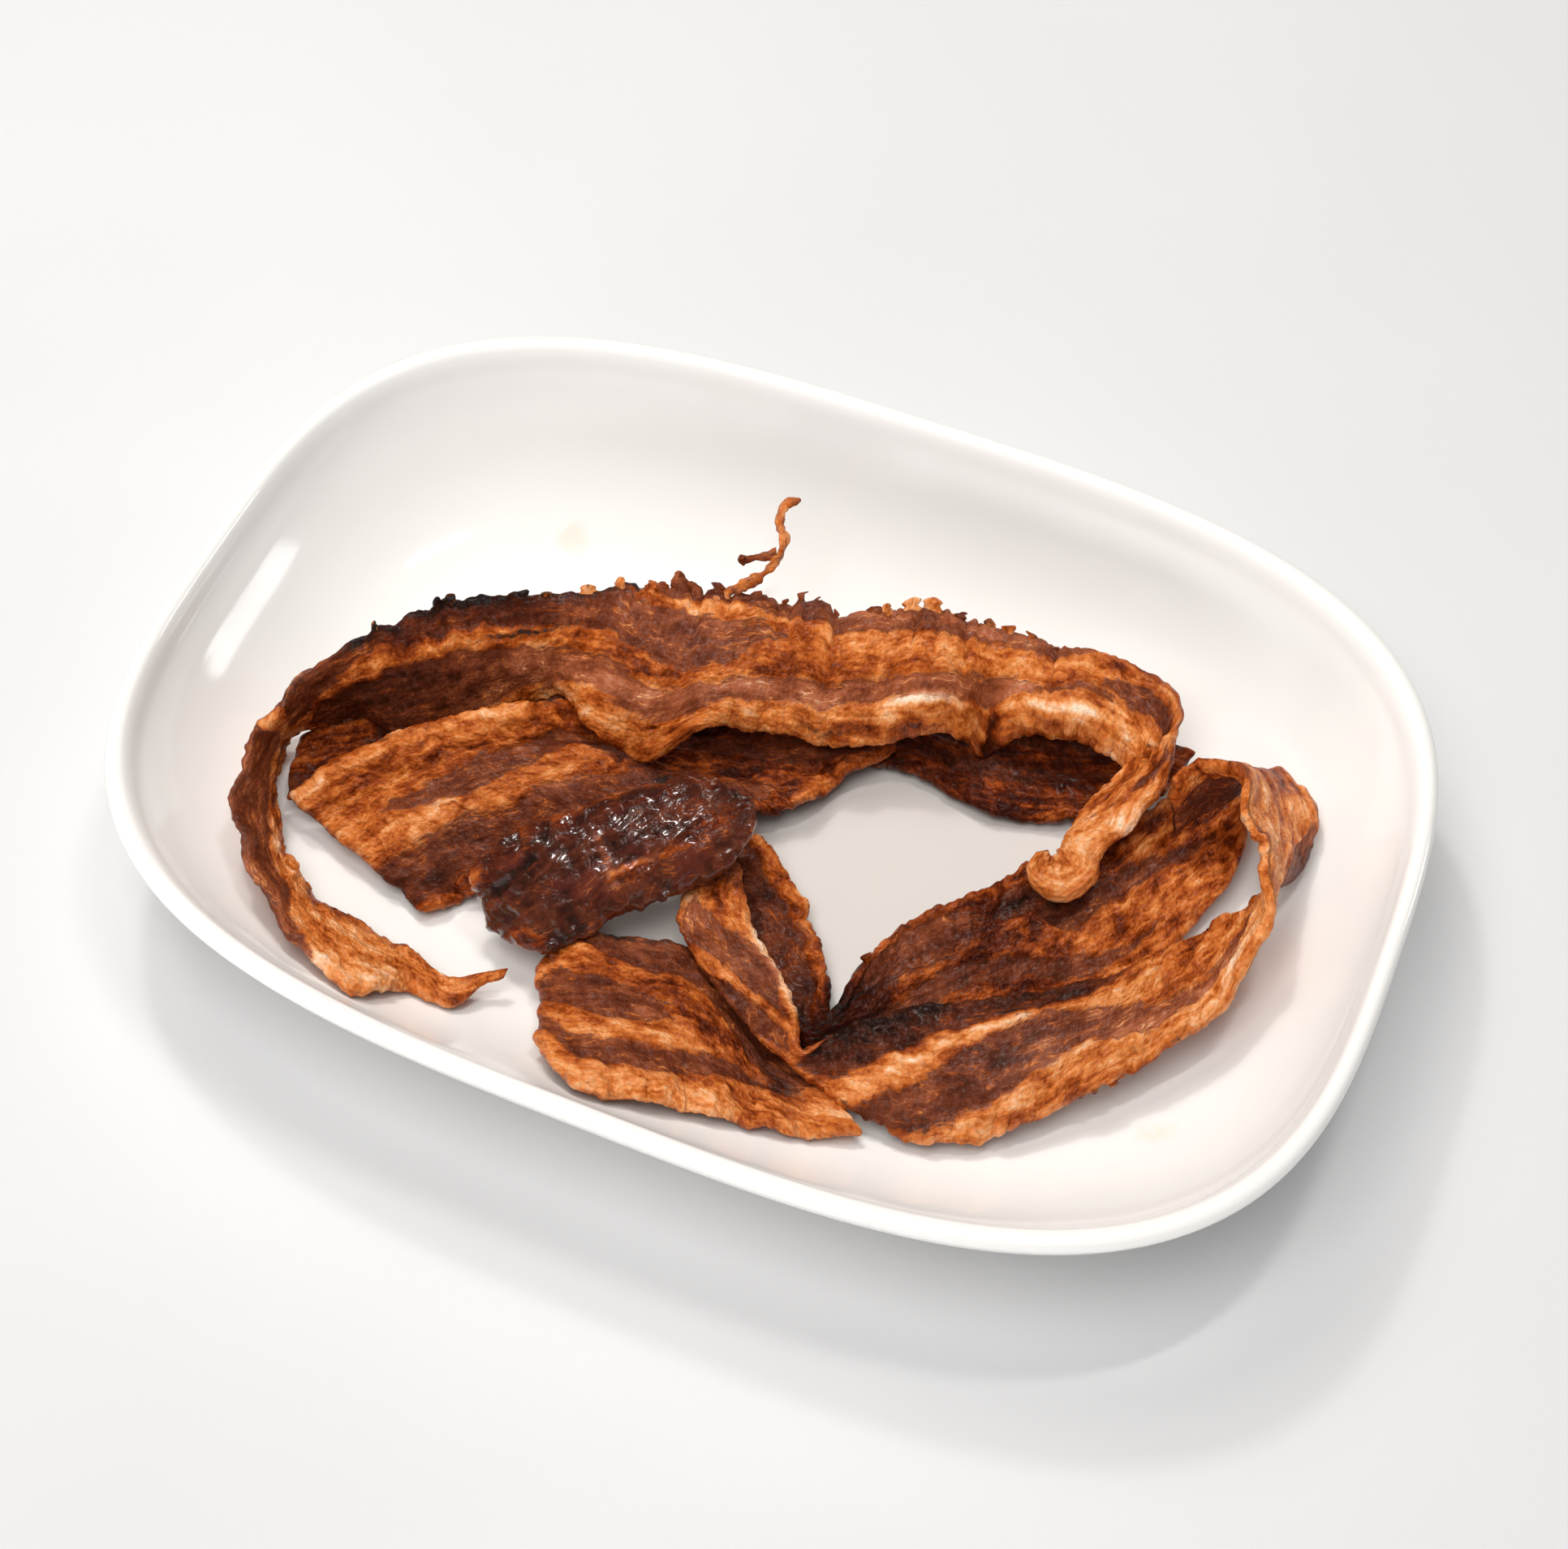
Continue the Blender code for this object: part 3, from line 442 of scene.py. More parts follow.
# ============================================================ strips, as meshes
def lean_depth(name, run, t, width):
    """Millimetres inside the nearest lean band, negative in the fat."""
    best = np.full(np.broadcast(run, t).shape, -9.0)
    for band in LEAN[name]:
        rows = np.asarray(band, float)
        low = np.interp(run, rows[:, 0], rows[:, 1])
        high = np.interp(run, rows[:, 0], rows[:, 2])
        inside = np.minimum(t - low, high - t) * width / 2
        ends = np.minimum(run - rows[0, 0], rows[-1, 0] - run) * 0.7
        best = np.maximum(best, np.minimum(inside, ends))
    return best


def spots(table, name, run, t, width):
    total = np.zeros(np.broadcast(run, t).shape)
    for r0, t0, reach, across, strength in table[name]:
        q = ((run - r0) / reach) ** 2 + ((t - t0) * width / 2 / across) ** 2
        total = total + strength * np.exp(-q)
    return total


def edge_wobble(name, run, seed, amount, far):
    """How far an edge stands out, mm: broad bites, small nibbles and teeth."""
    wobble = amount * (
        1.1 * fractal(run / 8.0, 0.3, seed, 2)
        + 0.8 * fractal(run / 2.6, 0.6, seed + 5, 2)
        + 0.35 * noise(run / 0.9, 0.1, seed + 9)
    )
    if name == "strip_long" and far:
        fringe = smooth(run, 158, 176) * (1 - smooth(run, 262, 276))
        teeth = np.maximum(0.0, noise(run / 1.25, 0.5, seed + 31) - 0.15) * 1.5
        gaps = np.minimum(0.0, noise(run / 2.2, 0.2, seed + 37) + 0.25) * 2.6
        lumps = 1.3 * np.exp(-(((run - 137) / 2.2) ** 2)) + 0.9 * np.exp(
            -(((run - 121) / 1.3) ** 2)
        ) + 1.6 * np.exp(-(((run - 236) / 6.0) ** 2)) - 1.2 * np.exp(
            -(((run - 218) / 3.0) ** 2)
        ) + 1.0 * np.exp(-(((run - 170) / 4.0) ** 2))
        wobble = wobble + fringe * (teeth + gaps) + lumps
    return wobble


def relief(name, run, across, lean, side, seed):
    """Small hills of the face in mm: puffed fat, sunk and grained lean."""
    fat = 1.0 - smooth(lean, -1.1, 0.9)
    streak = fractal(run / 7.0, across / 1.35, seed + side, 2)
    blister = np.maximum(0.0, fractal(run / 2.3, across / 1.9, seed + 40 + side, 2))
    pebble = fractal(run / 1.5, across / 1.3, seed + 60 + side, 2)
    grain = noise(run / 1.35, across / 4.5, seed + 80 + side)
    hills = fractal(run / 5.0, across / 4.2, seed + 20, 2)
    crest = np.exp(-((lean + 0.25) / 0.55) ** 2)
    groove = np.exp(-((lean - 0.35) / 0.35) ** 2)
    high = fat * (0.14 + 0.07 * streak + 0.42 * blister + 0.17 * pebble)
    high = high + (1 - fat) * (-0.10 + 0.04 * grain + 0.12 * pebble + 0.03 * streak)
    high = high + 0.24 * hills + 0.07 * crest - 0.05 * groove
    if name == "strip_glazed":
        w = ridged((run - 0.6 * across) / 7.0 + 0.3 * hills, (across + 0.45 * run) / 2.3, seed + 7)
        w2 = ridged((run - 0.5 * across) / 4.5, (across + 0.3 * run) / 1.5, seed + 8)
        # Wrinkled by the left end, smoother by the right one.
        calm = 0.60 + 0.40 * (1 - smooth(run, 26, 48))
        high = 0.35 * high + calm * (0.46 * w + 0.22 * w2) + 0.30 * hills
    if name == "strip_back":
        lump = smooth(run, 80, 90) * (1 - smooth(run, 118, 128))
        high = high + lump * (0.5 * fractal(run / 4.0, across / 3.5, seed + 90, 2))
    return high


def strip_arrays(name, seed):
    stations, ruffle, wavelength, phase, fine, rag_far, rag_near, waviness = STRIPS[name]
    spacing = station_spacing(stations)
    count = int(spacing[-1] / (fine * 1.28))
    rows = hermite(stations, spacing, count)
    far, near, cup = rows[:, 0:3].copy(), rows[:, 3:6].copy(), rows[:, 6]
    middle = (far + near) / 2
    run = np.concatenate(
        [[0.0], np.cumsum(np.linalg.norm(np.diff(middle, axis=0), axis=1))]
    )
    swelling, shift = np.zeros(count), np.zeros((count, 3))
    if name == "strip_long":
        for at, lift, back, swell, half in LONG_WAVES:
            bump = np.exp(-(((run - at) / half) ** 2))
            shift += bump[:, None] * np.array([0.0, back, lift])
            swelling += swell * bump
    tangent = unit(np.gradient(middle, axis=0))
    across = near - far
    width = np.linalg.norm(across, axis=1)
    step_out = across / np.maximum(width, 1e-6)[:, None]
    normal = unit(np.cross(across, tangent))
    narrow = np.clip(width / 14.0, 0.25, 1.0)
    far = far - step_out * (
        edge_wobble(name, run, seed + 100, rag_far, True) * narrow
    )[:, None]
    near = near + step_out * (
        edge_wobble(name, run, seed + 200, rag_near, False) * narrow
    )[:, None]

    columns = int(np.clip(np.percentile(width, 88) / fine, 24, 76)) + 1
    t = np.linspace(-1.0, 1.0, columns)
    surface = (
        far[:, None, :] * (1 - t)[None, :, None] / 2
        + near[:, None, :] * (1 + t)[None, :, None] / 2
        + shift[:, None, :] * (((1 + t) / 2) ** 2.5)[None, :, None]
    )
    wave = ruffle * (
        np.sin(2 * math.pi * run / wavelength + phase)[:, None]
        * np.clip(t, 0, 1)[None, :] ** 2
        + np.sin(2 * math.pi * run / (wavelength * 0.83) + phase + 2.0)[:, None]
        * np.clip(-t, 0, 1)[None, :] ** 2
    )
    calm = np.clip(width / 12.0, 0.0, 1.0)[:, None]
    lift = cup[:, None] * (1 - t**2)[None, :] + wave * calm
    lift = lift + swelling[:, None] * (0.59 * (1 - t) * (1 + t) ** 3)[None, :]
    R = np.broadcast_to(run[:, None], (count, columns))
    T = np.broadcast_to(t[None, :], (count, columns))
    W = np.broadcast_to(width[:, None], (count, columns))
    A = T * W / 2
    edge = smooth(np.abs(T), 0.45, 1.0)
    lift = lift + waviness * calm * (
        0.8 * fractal(R / 10.0, A / 9.0, seed + 300, 2)
        + (0.35 + 0.5 * edge) * fractal(R / 4.2, A / 6.0, seed + 310, 2)
    )
    if name == "strip_middle":
        # A rolled far rim, the valley behind it and the swellings of the face.
        lift = lift + calm * (
            1.1 * np.exp(-(((T + 0.92) / 0.16) ** 2)) - 1.3 * np.exp(-(((T + 0.50) / 0.22) ** 2))
            + 1.2 * np.exp(-(((R - 16) / 8) ** 2) - ((T - 0.1) / 0.3) ** 2)
            - 1.2 * np.exp(-(((R - 9) / 6) ** 2) - ((T + 0.25) / 0.2) ** 2)
        ) * (1 - smooth(R, 60, 76))
    surface = surface + lift[:, :, None] * normal[:, None, :]
    # An uneven cut at each end.
    for rows_in, sign in ((R, -1.0), (run[-1] - R, 1.0)):
        near_end = np.exp(-(rows_in / 1.6) ** 2) * calm
        bite = near_end * (0.9 * fractal(A / 3.0, 0.5, seed + 320 + int(sign), 2))
        surface = surface + sign * bite[:, :, None] * tangent[:, None, :]
    du, dv = np.gradient(surface, axis=0), np.gradient(surface, axis=1)
    N = unit(np.cross(dv, du))

    lean = lean_depth(name, R, T, W)
    lean = lean + 0.75 * fractal(R / 6.5, A / 5.0, seed + 330, 3) * np.clip(W / 14, 0.3, 1)
    fat = 1.0 - smooth(lean, -0.6, 0.6)
    slim = np.clip(W / 6.0, 0.5, 1.0)
    ends = np.minimum(R, run[-1] - R)
    taper = np.sqrt(np.clip(1 - (1 - np.clip(ends / 1.3, 0, 1)) ** 2, 0.12, 1))
    half = 0.5 * (1.45 + 0.75 * np.sqrt(np.clip(1 - T**6, 0, 1)) + 0.30 * fat - 0.15)
    half = half * slim * taper
    rim = np.exp(-((1 - np.abs(T)) * W / 2 / 1.6) ** 2)
    beads = np.maximum(0.0, fractal(R / 1.5, np.sign(T) * 3.0, seed + 340, 2))
    half = half + 0.30 * rim * beads * slim * taper
    damp = slim * taper
    hill = relief(name, R, A, lean, 0, seed)
    dale = relief(name, R, A, lean, 1, seed)
    up = half + damp * hill
    low = half + damp * 0.8 * dale
    up, low = np.maximum(up, 0.22), np.maximum(low, 0.22)
    upper = surface + N * up[:, :, None]
    lower = surface - N * low[:, :, None]

    def rim_points(column, inner, flip):
        out = unit(surface[:, column] - surface[:, inner])
        hu, hl = up[:, column], low[:, column]
        bulge = 0.75 * (hu + hl) / 2 + 0.12 * fractal(run / 1.2, 0.4, seed + 350 + column, 2)
        pts = []
        for turn in (48, 16, -16, -48):
            s, c = math.sin(math.radians(turn)), math.cos(math.radians(turn))
            high = np.where(s > 0, hu, hl) * s
            pts.append(surface[:, column] + out * (bulge * c)[:, None]
                       + N[:, column] * high[:, None])
        return np.stack(pts if not flip else pts[::-1], axis=1)

    near_rim = rim_points(columns - 1, columns - 2, False)
    far_rim = rim_points(0, 1, True)
    rings = np.concatenate([upper, near_rim, lower[:, ::-1], far_rim], axis=1)
    m = near_rim.shape[1]

    def ring_of(values, second=None):
        second = values if second is None else second
        return np.concatenate(
            [values, np.repeat(values[:, -1:], m, axis=1), second[:, ::-1],
             np.repeat(values[:, :1], m, axis=1)], axis=1)

    tone = spots(TONE, name, R, T, W)
    tone = tone + (1 - fat) * spots(PINK, name, R, T, W) + fat * spots(DIM, name, R, T, W)
    char = spots(CHAR, name, R, T, W)
    wet = spots(WET, name, R, T, W)
    wet = wet + 0.7 * rim * np.maximum(0, fractal(R / 7.0, np.sign(T) * 7.0, seed + 385, 2) + 0.2)
    # Lightly crisped, darker rims here and there; paler raised crests come below, as painted highlight.
    tone = tone + 0.30 * fractal(R / 14.0, A / 9.0, seed + 360, 2)
    tone = tone + 0.35 * rim * fractal(R / 5.0, np.sign(T) * 2.0, seed + 370, 2)
    char = char + 0.35 * rim * np.maximum(0, fractal(R / 4.0, np.sign(T) * 5.0, seed + 380, 2) - 0.2)
    grain = np.stack([R, A, np.zeros_like(A)], axis=-1)
    grain_up = grain + np.array([0.0, 0.0, seed * 3.7])
    grain_low = grain + np.array([0.0, 0.0, seed * 3.7 + 50.0])
    cells = {
        "lean": ring_of(lean),
        # Tone follows the relief: raised places paler, hollows darker, a painted highlight and painted shade; the lower
        # face is painted 0.15 darker, as shade.
        "tone": ring_of(tone + 0.7 * (hill - 0.1), tone - 0.15 + 0.7 * (dale - 0.1)),
        "char": ring_of(char),
        "wet": ring_of(wet),
    }
    vector = np.concatenate(
        [grain_up, grain_up[:, -1:] + np.array([0, 1.0, 0]) * np.linspace(0.5, 2, m)[None, :, None],
         grain_low[:, ::-1], grain_up[:, :1] - np.array([0, 1.0, 0]) * np.linspace(2, 0.5, m)[None, :, None]],
        axis=1)
    return {
        "rings": rings, "columns": columns, "rim": m, "cells": cells, "grain": vector,
        "run": run, "far": surface[:, 0], "near": surface[:, -1], "normal": N,
        "tangent": tangent, "out": step_out,
    }


def lofted(rings):
    """Quads round and along the rings, and quads across both ends."""
    count, size = rings.shape[:2]
    i = np.arange(count - 1)[:, None] * size
    k = np.arange(size)[None, :]
    j = (k + 1) % size
    quads = np.stack(
        [i + k, i + j, i + size + j, i + size + k], axis=-1
    ).reshape(-1, 4)
    ends = []
    half = size // 2
    for base, last in ((0, False), ((count - 1) * size, True)):
        for q in range(half - 1):
            face = [base + q, base + q + 1, base + size - 2 - q, base + size - 1 - q]
            ends.append(face if last else face[::-1])
    return rings.reshape(-1, 3), np.concatenate([quads, np.array(ends)])


class Cells:
    """Vertices, faces and named values gathered into one mesh."""

    def __init__(self):
        self.points, self.faces, self.values, self.grain, self.total = [], [], {}, [], 0

    def add(self, points, faces, grain, **values):
        signed = volume_of(points, faces)
        if signed < 0:
            faces = faces[:, ::-1]
        self.points.append(points)
        self.faces.append(faces + self.total)
        self.grain.append(grain)
        for key in ("lean", "tone", "char", "wet"):
            self.values.setdefault(key, []).append(
                np.broadcast_to(np.asarray(values[key], float).reshape(-1), (len(points),))
            )
        self.total += len(points)

    def build(self, name, material):
        thing = mesh_object(name, np.concatenate(self.points), np.concatenate(self.faces), material)
        data = thing.data
        for key, rows in self.values.items():
            layer = data.attributes.new(key, "FLOAT", "POINT")
            layer.data.foreach_set("value", np.concatenate(rows).astype(np.float32))
        layer = data.attributes.new("grain", "FLOAT_VECTOR", "POINT")
        layer.data.foreach_set("vector", np.concatenate(self.grain).astype(np.float32).ravel())
        return thing


def volume_of(points, faces):
    p = points[faces]
    a = np.einsum("ij,ij->i", p[:, 0], np.cross(p[:, 1], p[:, 2]))
    b = np.einsum("ij,ij->i", p[:, 0], np.cross(p[:, 2], p[:, 3]))
    return (a + b).sum() / 6


def mesh_object(name, points, faces, material):
    data = bpy.data.meshes.new(name)
    data.vertices.add(len(points))
    data.vertices.foreach_set("co", (points * MM).astype(np.float32).ravel())
    data.loops.add(faces.size)
    data.loops.foreach_set("vertex_index", faces.astype(np.int32).ravel())
    data.polygons.add(len(faces))
    data.polygons.foreach_set("loop_start", (np.arange(len(faces)) * faces.shape[1]).astype(np.int32))
    data.update(calc_edges=True)
    data.validate()
    data.shade_smooth()
    data.materials.append(material)
    thing = bpy.data.objects.new(name, data)
    bpy.context.scene.collection.objects.link(thing)
    return thing


def tuft(cells, base, direction, up, length, width, thick, seed, **values):
    """A small torn bit: a flat, bent, tapering tongue with a rough outline."""
    steps, sides = 9, 10
    s = np.linspace(0, 1, steps)
    direction, up = unit(np.asarray(direction, float)), unit(np.asarray(up, float))
    side = unit(np.cross(direction, up))
    up = np.cross(side, direction)
    bend = 0.35 * noise(s * 1.7, 0.5, seed)[:, None] * up + 0.45 * noise(s * 1.9, 0.2, seed + 3)[:, None] * side
    line = np.asarray(base, float) + length * (s[:, None] * direction + bend * s[:, None])
    shape = np.sqrt(np.clip(1 - s**4, 0.03, 1)) * (1 + 0.45 * noise(s * 4.0, 0.7, seed + 5))
    turn = np.arange(sides) * 2 * math.pi / sides
    wob = 1 + 0.22 * noise(s[:, None] * 5 + 0 * turn, turn[None, :] * 1.3, seed + 7)
    rings = (
        line[:, None, :]
        + (np.cos(turn)[None, :] * wob * width / 2 * shape[:, None])[:, :, None] * side
        + (np.sin(turn)[None, :] * wob * thick / 2 * shape[:, None])[:, :, None] * up
    )
    points, faces = lofted(rings)
    grain = np.stack(
        [np.repeat(s * length, sides), np.tile(np.cos(turn) * width / 2, steps),
         np.full(steps * sides, seed * 1.3)], axis=-1)
    cells.add(points, faces, grain, **values)


def tube(cells, route, radius, flat, seed, **values):
    """A long uneven thread along a route."""
    route = np.asarray(route, float)
    spacing = np.concatenate([[0.0], np.cumsum(np.linalg.norm(np.diff(route, axis=0), axis=1))])
    count = int(spacing[-1] / 0.35) + 2
    line = hermite(route, spacing, count)
    s = np.linspace(0, spacing[-1], count)
    line = line + 0.22 * np.stack([noise(s / 2.2, k, seed + k) for k in range(3)], axis=-1)
    tangent = unit(np.gradient(line, axis=0))
    spin = 0.6 * noise(s / 5.0, 0.3, seed + 11) * math.pi
    side = unit(np.cross(tangent, np.array([0.3, 0.2, 1.0])))
    up = np.cross(side, tangent)
    side, up = (
        side * np.cos(spin)[:, None] + up * np.sin(spin)[:, None],
        up * np.cos(spin)[:, None] - side * np.sin(spin)[:, None],
    )
    shape = (1 + 0.35 * fractal(s / 2.0, 0.4, seed + 13, 2)) * np.interp(
        s / spacing[-1], [0, 0.12, 0.8, 0.93, 1], [1.5, 1.05, 0.9, 1.15, 0.35])
    turn = np.arange(14) * 2 * math.pi / 14
    wob = 1 + 0.18 * noise(s[:, None] / 0.9, turn[None, :] * 1.4, seed + 17)
    rings = (
        line[:, None, :]
        + (np.cos(turn)[None, :] * wob * (radius * shape)[:, None])[:, :, None] * side[:, None, :]
        + (np.sin(turn)[None, :] * wob * (radius * flat * shape)[:, None])[:, :, None] * up[:, None, :]
    )
    points, faces = lofted(rings)
    grain = np.stack([np.repeat(s, 14), np.tile(np.cos(turn) * radius, count),
                      np.full(count * 14, seed * 2.1)], axis=-1)
    n = len(points)
    tone = values.pop("tone") + 0.5 * np.repeat(noise(s / 3.0, 0.2, seed + 19), 14)
    cells.add(points, faces, grain, tone=tone, **values)


# =================================================================== materials
def nodes_of(material):
    material.use_nodes = True
    tree = material.node_tree
    tree.nodes.clear()
    return tree


class Net:
    """Short names for the shader nodes that are used again and again."""

    def __init__(self, name):
        self.material = bpy.data.materials.new(name)
        self.tree = nodes_of(self.material)
        self.output = self.tree.nodes.new("ShaderNodeOutputMaterial")
        self.shader = self.tree.nodes.new("ShaderNodeBsdfPrincipled")
        self.tree.links.new(self.shader.outputs[0], self.output.inputs[0])

    def link(self, a, b):
        self.tree.links.new(a, b)

    def put(self, socket, value):
        if isinstance(value, (int, float)):
            socket.default_value = value
        elif isinstance(value, (tuple, list)):
            socket.default_value = value
        else:
            self.link(value, socket)

    def attribute(self, name, out="Fac"):
        node = self.tree.nodes.new("ShaderNodeAttribute")
        node.attribute_name = name
        return node.outputs[out]

    def maths(self, operation, a, b=None, c=None, clamp=False):
        node = self.tree.nodes.new("ShaderNodeMath")
        node.operation = operation
        node.use_clamp = clamp
        for socket, value in zip(node.inputs, (a, b, c)):
            if value is not None:
                self.put(socket, value)
        return node.outputs[0]

    def scaled(self, vector, x, y, z=1.0):
        node = self.tree.nodes.new("ShaderNodeVectorMath")
        node.operation = "MULTIPLY"
        self.put(node.inputs[0], vector)
        node.inputs[1].default_value = (x, y, z)
        return node.outputs[0]

    def noise(self, vector, detail=3.0, rough=0.55, scale=1.0, distortion=0.0):
        node = self.tree.nodes.new("ShaderNodeTexNoise")
        self.put(node.inputs["Vector"], vector)
        node.inputs["Scale"].default_value = scale
        node.inputs["Detail"].default_value = detail
        node.inputs["Roughness"].default_value = rough
        node.inputs["Distortion"].default_value = distortion
        return node.outputs["Fac"]

    def cells(self, vector, scale=1.0, feature="F1"):
        node = self.tree.nodes.new("ShaderNodeTexVoronoi")
        node.feature = feature
        self.put(node.inputs["Vector"], vector)
        node.inputs["Scale"].default_value = scale
        return node.outputs["Distance"]

    def between(self, value, low, high, to_low=0.0, to_high=1.0, kind="SMOOTHSTEP"):
        node = self.tree.nodes.new("ShaderNodeMapRange")
        node.interpolation_type = kind
        self.put(node.inputs["Value"], value)
        node.inputs["From Min"].default_value = low
        node.inputs["From Max"].default_value = high
        node.inputs["To Min"].default_value = to_low
        node.inputs["To Max"].default_value = to_high
        return node.outputs["Result"]

    def ramp(self, value, stops):
        node = self.tree.nodes.new("ShaderNodeValToRGB")
        self.put(node.inputs[0], value)
        ramp = node.color_ramp
        while len(ramp.elements) < len(stops):
            ramp.elements.new(0.5)
        for element, (place, colour) in zip(ramp.elements, stops):
            element.position = place
            element.color = (*colour, 1.0)
        return node.outputs[0]

    def mix(self, share, a, b, blend="MIX"):
        node = self.tree.nodes.new("ShaderNodeMix")
        node.data_type = "RGBA"
        node.blend_type = blend
        self.put(node.inputs["Factor"], share)
        colours = [s for s in node.inputs if s.type == "RGBA"]
        for socket, value in zip(colours, (a, b)):
            self.put(socket, (*value, 1.0) if isinstance(value, tuple) and len(value) == 3 else value)
        return [s for s in node.outputs if s.type == "RGBA"][0]

    def bump(self, height, distance, strength=1.0, normal=None):
        node = self.tree.nodes.new("ShaderNodeBump")
        self.put(node.inputs["Height"], height)
        node.inputs["Distance"].default_value = distance
        node.inputs["Strength"].default_value = strength
        if normal is not None:
            self.put(node.inputs["Normal"], normal)
        return node.outputs[0]


def bacon_material(name, coat, coat_roughness, specular, dull, purpled, bumpy):
    net = Net(name)
    grain = net.attribute("grain", "Vector")

    def swing(value, size):
        return net.maths("MULTIPLY", net.maths("SUBTRACT", value, 0.5), size)

    def total(*values):
        out = values[0]
        for value in values[1:]:
            out = net.maths("ADD", out, value)
        return out

    broad = net.noise(net.scaled(grain, 0.10, 0.50), 3.0, 0.50, distortion=0.6)
    streak = net.noise(net.scaled(grain, 0.24, 1.20), 3.0, 0.55, distortion=0.6)
    mottle = net.noise(net.scaled(grain, 0.23, 0.30), 4.0, 0.55)
    cross = net.noise(net.scaled(grain, 1.3, 0.36), 3.0, 0.55)
    granule = net.noise(net.scaled(grain, 0.95, 1.0), 3.0, 0.60)
    fine = net.noise(net.scaled(grain, 2.7, 2.8), 2.0, 0.5)
    blister = net.cells(net.scaled(grain, 1.15, 1.25), 1.0)
    lean = net.attribute("lean")
    tone = net.attribute("tone")
    char = net.attribute("char")
    wet = net.attribute("wet")

    # Where lean ends and fat begins, frayed along the fibres.
    edge = total(lean, swing(streak, 2.8), swing(broad, 3.4), swing(granule, 1.8))
    share = net.between(edge, -0.50, 0.60)
    # Thin seams of fat inside the lean, and of lean inside the fat.
    seam = net.maths("ABSOLUTE", net.maths("SUBTRACT", broad, 0.53))
    seam = net.between(seam, 0.0, 0.020, 0.85, 0.0)
    seam = net.maths("MULTIPLY", seam, net.between(mottle, 0.42, 0.58))
    share = net.maths("MULTIPLY", share, net.maths("SUBTRACT", 1.0, seam))
    vein = net.maths("ABSOLUTE", net.maths("SUBTRACT", broad, 0.44))
    vein = net.between(vein, 0.0, 0.020, 0.60, 0.0)
    vein = net.maths("MULTIPLY", vein, net.between(mottle, 0.46, 0.62))
    share = net.maths("MAXIMUM", share, vein)

    # Fat: caramel brown to orange, pale over its blisters, and pale on its crests as painted highlight.
    # The tone in it carries painted highlight and painted shade as well as the meat's own tone.
    f = total(0.465, swing(broad, 0.66), swing(mottle, 0.85), swing(streak, 0.20),
              swing(granule, 0.28), swing(fine, 0.10), net.maths("MULTIPLY", tone, 0.28),
              net.maths("MULTIPLY", net.maths("SUBTRACT", 0.42, blister), 0.12))
    fat_colour = net.ramp(f, (
        (0.00, (0.040, 0.005, 0.001)),
        (0.18, (0.120, 0.016, 0.001)),
        (0.36, (0.345, 0.064, 0.007)),
        (0.52, (0.610, 0.165, 0.030)),
        (0.68, (0.820, 0.325, 0.108)),
        (0.84, (0.920, 0.530, 0.300)),
        (1.00, (0.955, 0.770, 0.580)),
    ))
    # Lean: mahogany, pinkish where thick, and nearly black where overdone and where the tone paints shade.
    g = total(0.455, swing(mottle, 0.66), swing(cross, 0.25), swing(broad, 0.50),
              swing(granule, 0.28), swing(fine, 0.12), net.maths("MULTIPLY", tone, 0.28))
    lean_colour = net.ramp(g, (
        (0.00, (0.014, 0.003, 0.001)),
        (0.20, (0.065, 0.012, 0.004)),
        (0.38, (0.130, 0.027, 0.009)),
        (0.55, (0.240, 0.058, 0.020)),
        (0.72, (0.400, 0.112, 0.045)),
        (0.86, (0.520, 0.185, 0.090)),
        (1.00, (0.640, 0.290, 0.170)),
    ))
    purple = net.between(net.noise(net.scaled(grain, 0.15, 0.2), 2.0), 0.50, 0.66)
    lean_colour = net.mix(net.maths("MULTIPLY", purple, purpled), lean_colour, (0.125, 0.020, 0.012))
    colour = net.mix(share, fat_colour, lean_colour)
    # A thin dark line here and there where the lean has shrunk from the fat.
    line = net.between(net.maths("ABSOLUTE", net.maths("SUBTRACT", edge, 0.55)), 0.0, 0.40, 0.38, 0.0)
    line = net.maths("MULTIPLY", line, net.between(mottle, 0.44, 0.56))
    colour = net.mix(line, colour, (0.040, 0.009, 0.003))
    # Browned specks, and char.
    dark = net.between(granule, 0.58, 0.70, 0.0, 0.32)
    dark = net.maths("MULTIPLY", dark, net.between(broad, 0.46, 0.60))
    colour = net.mix(dark, colour, (0.070, 0.014, 0.004))
    burnt = total(char, swing(granule, 1.2), swing(streak, 0.8))
    burnt = net.between(burnt, 0.20, 0.80)
    colour = net.mix(burnt, colour, (0.011, 0.005, 0.004))
    net.put(net.shader.inputs["Base Color"], colour)

    rough = total(dull, swing(granule, 0.55), swing(mottle, 0.30))
    rough = net.maths("SUBTRACT", rough, net.maths("MULTIPLY", wet, 0.22))
    rough = net.maths("ADD", rough, net.maths("MULTIPLY", share, -0.05))
    rough = net.maths("SUBTRACT", rough, net.between(fine, 0.58, 0.68, 0.0, 0.22))
    net.put(net.shader.inputs["Roughness"], net.maths("MINIMUM", net.maths("MAXIMUM", rough, 0.16), 0.85))

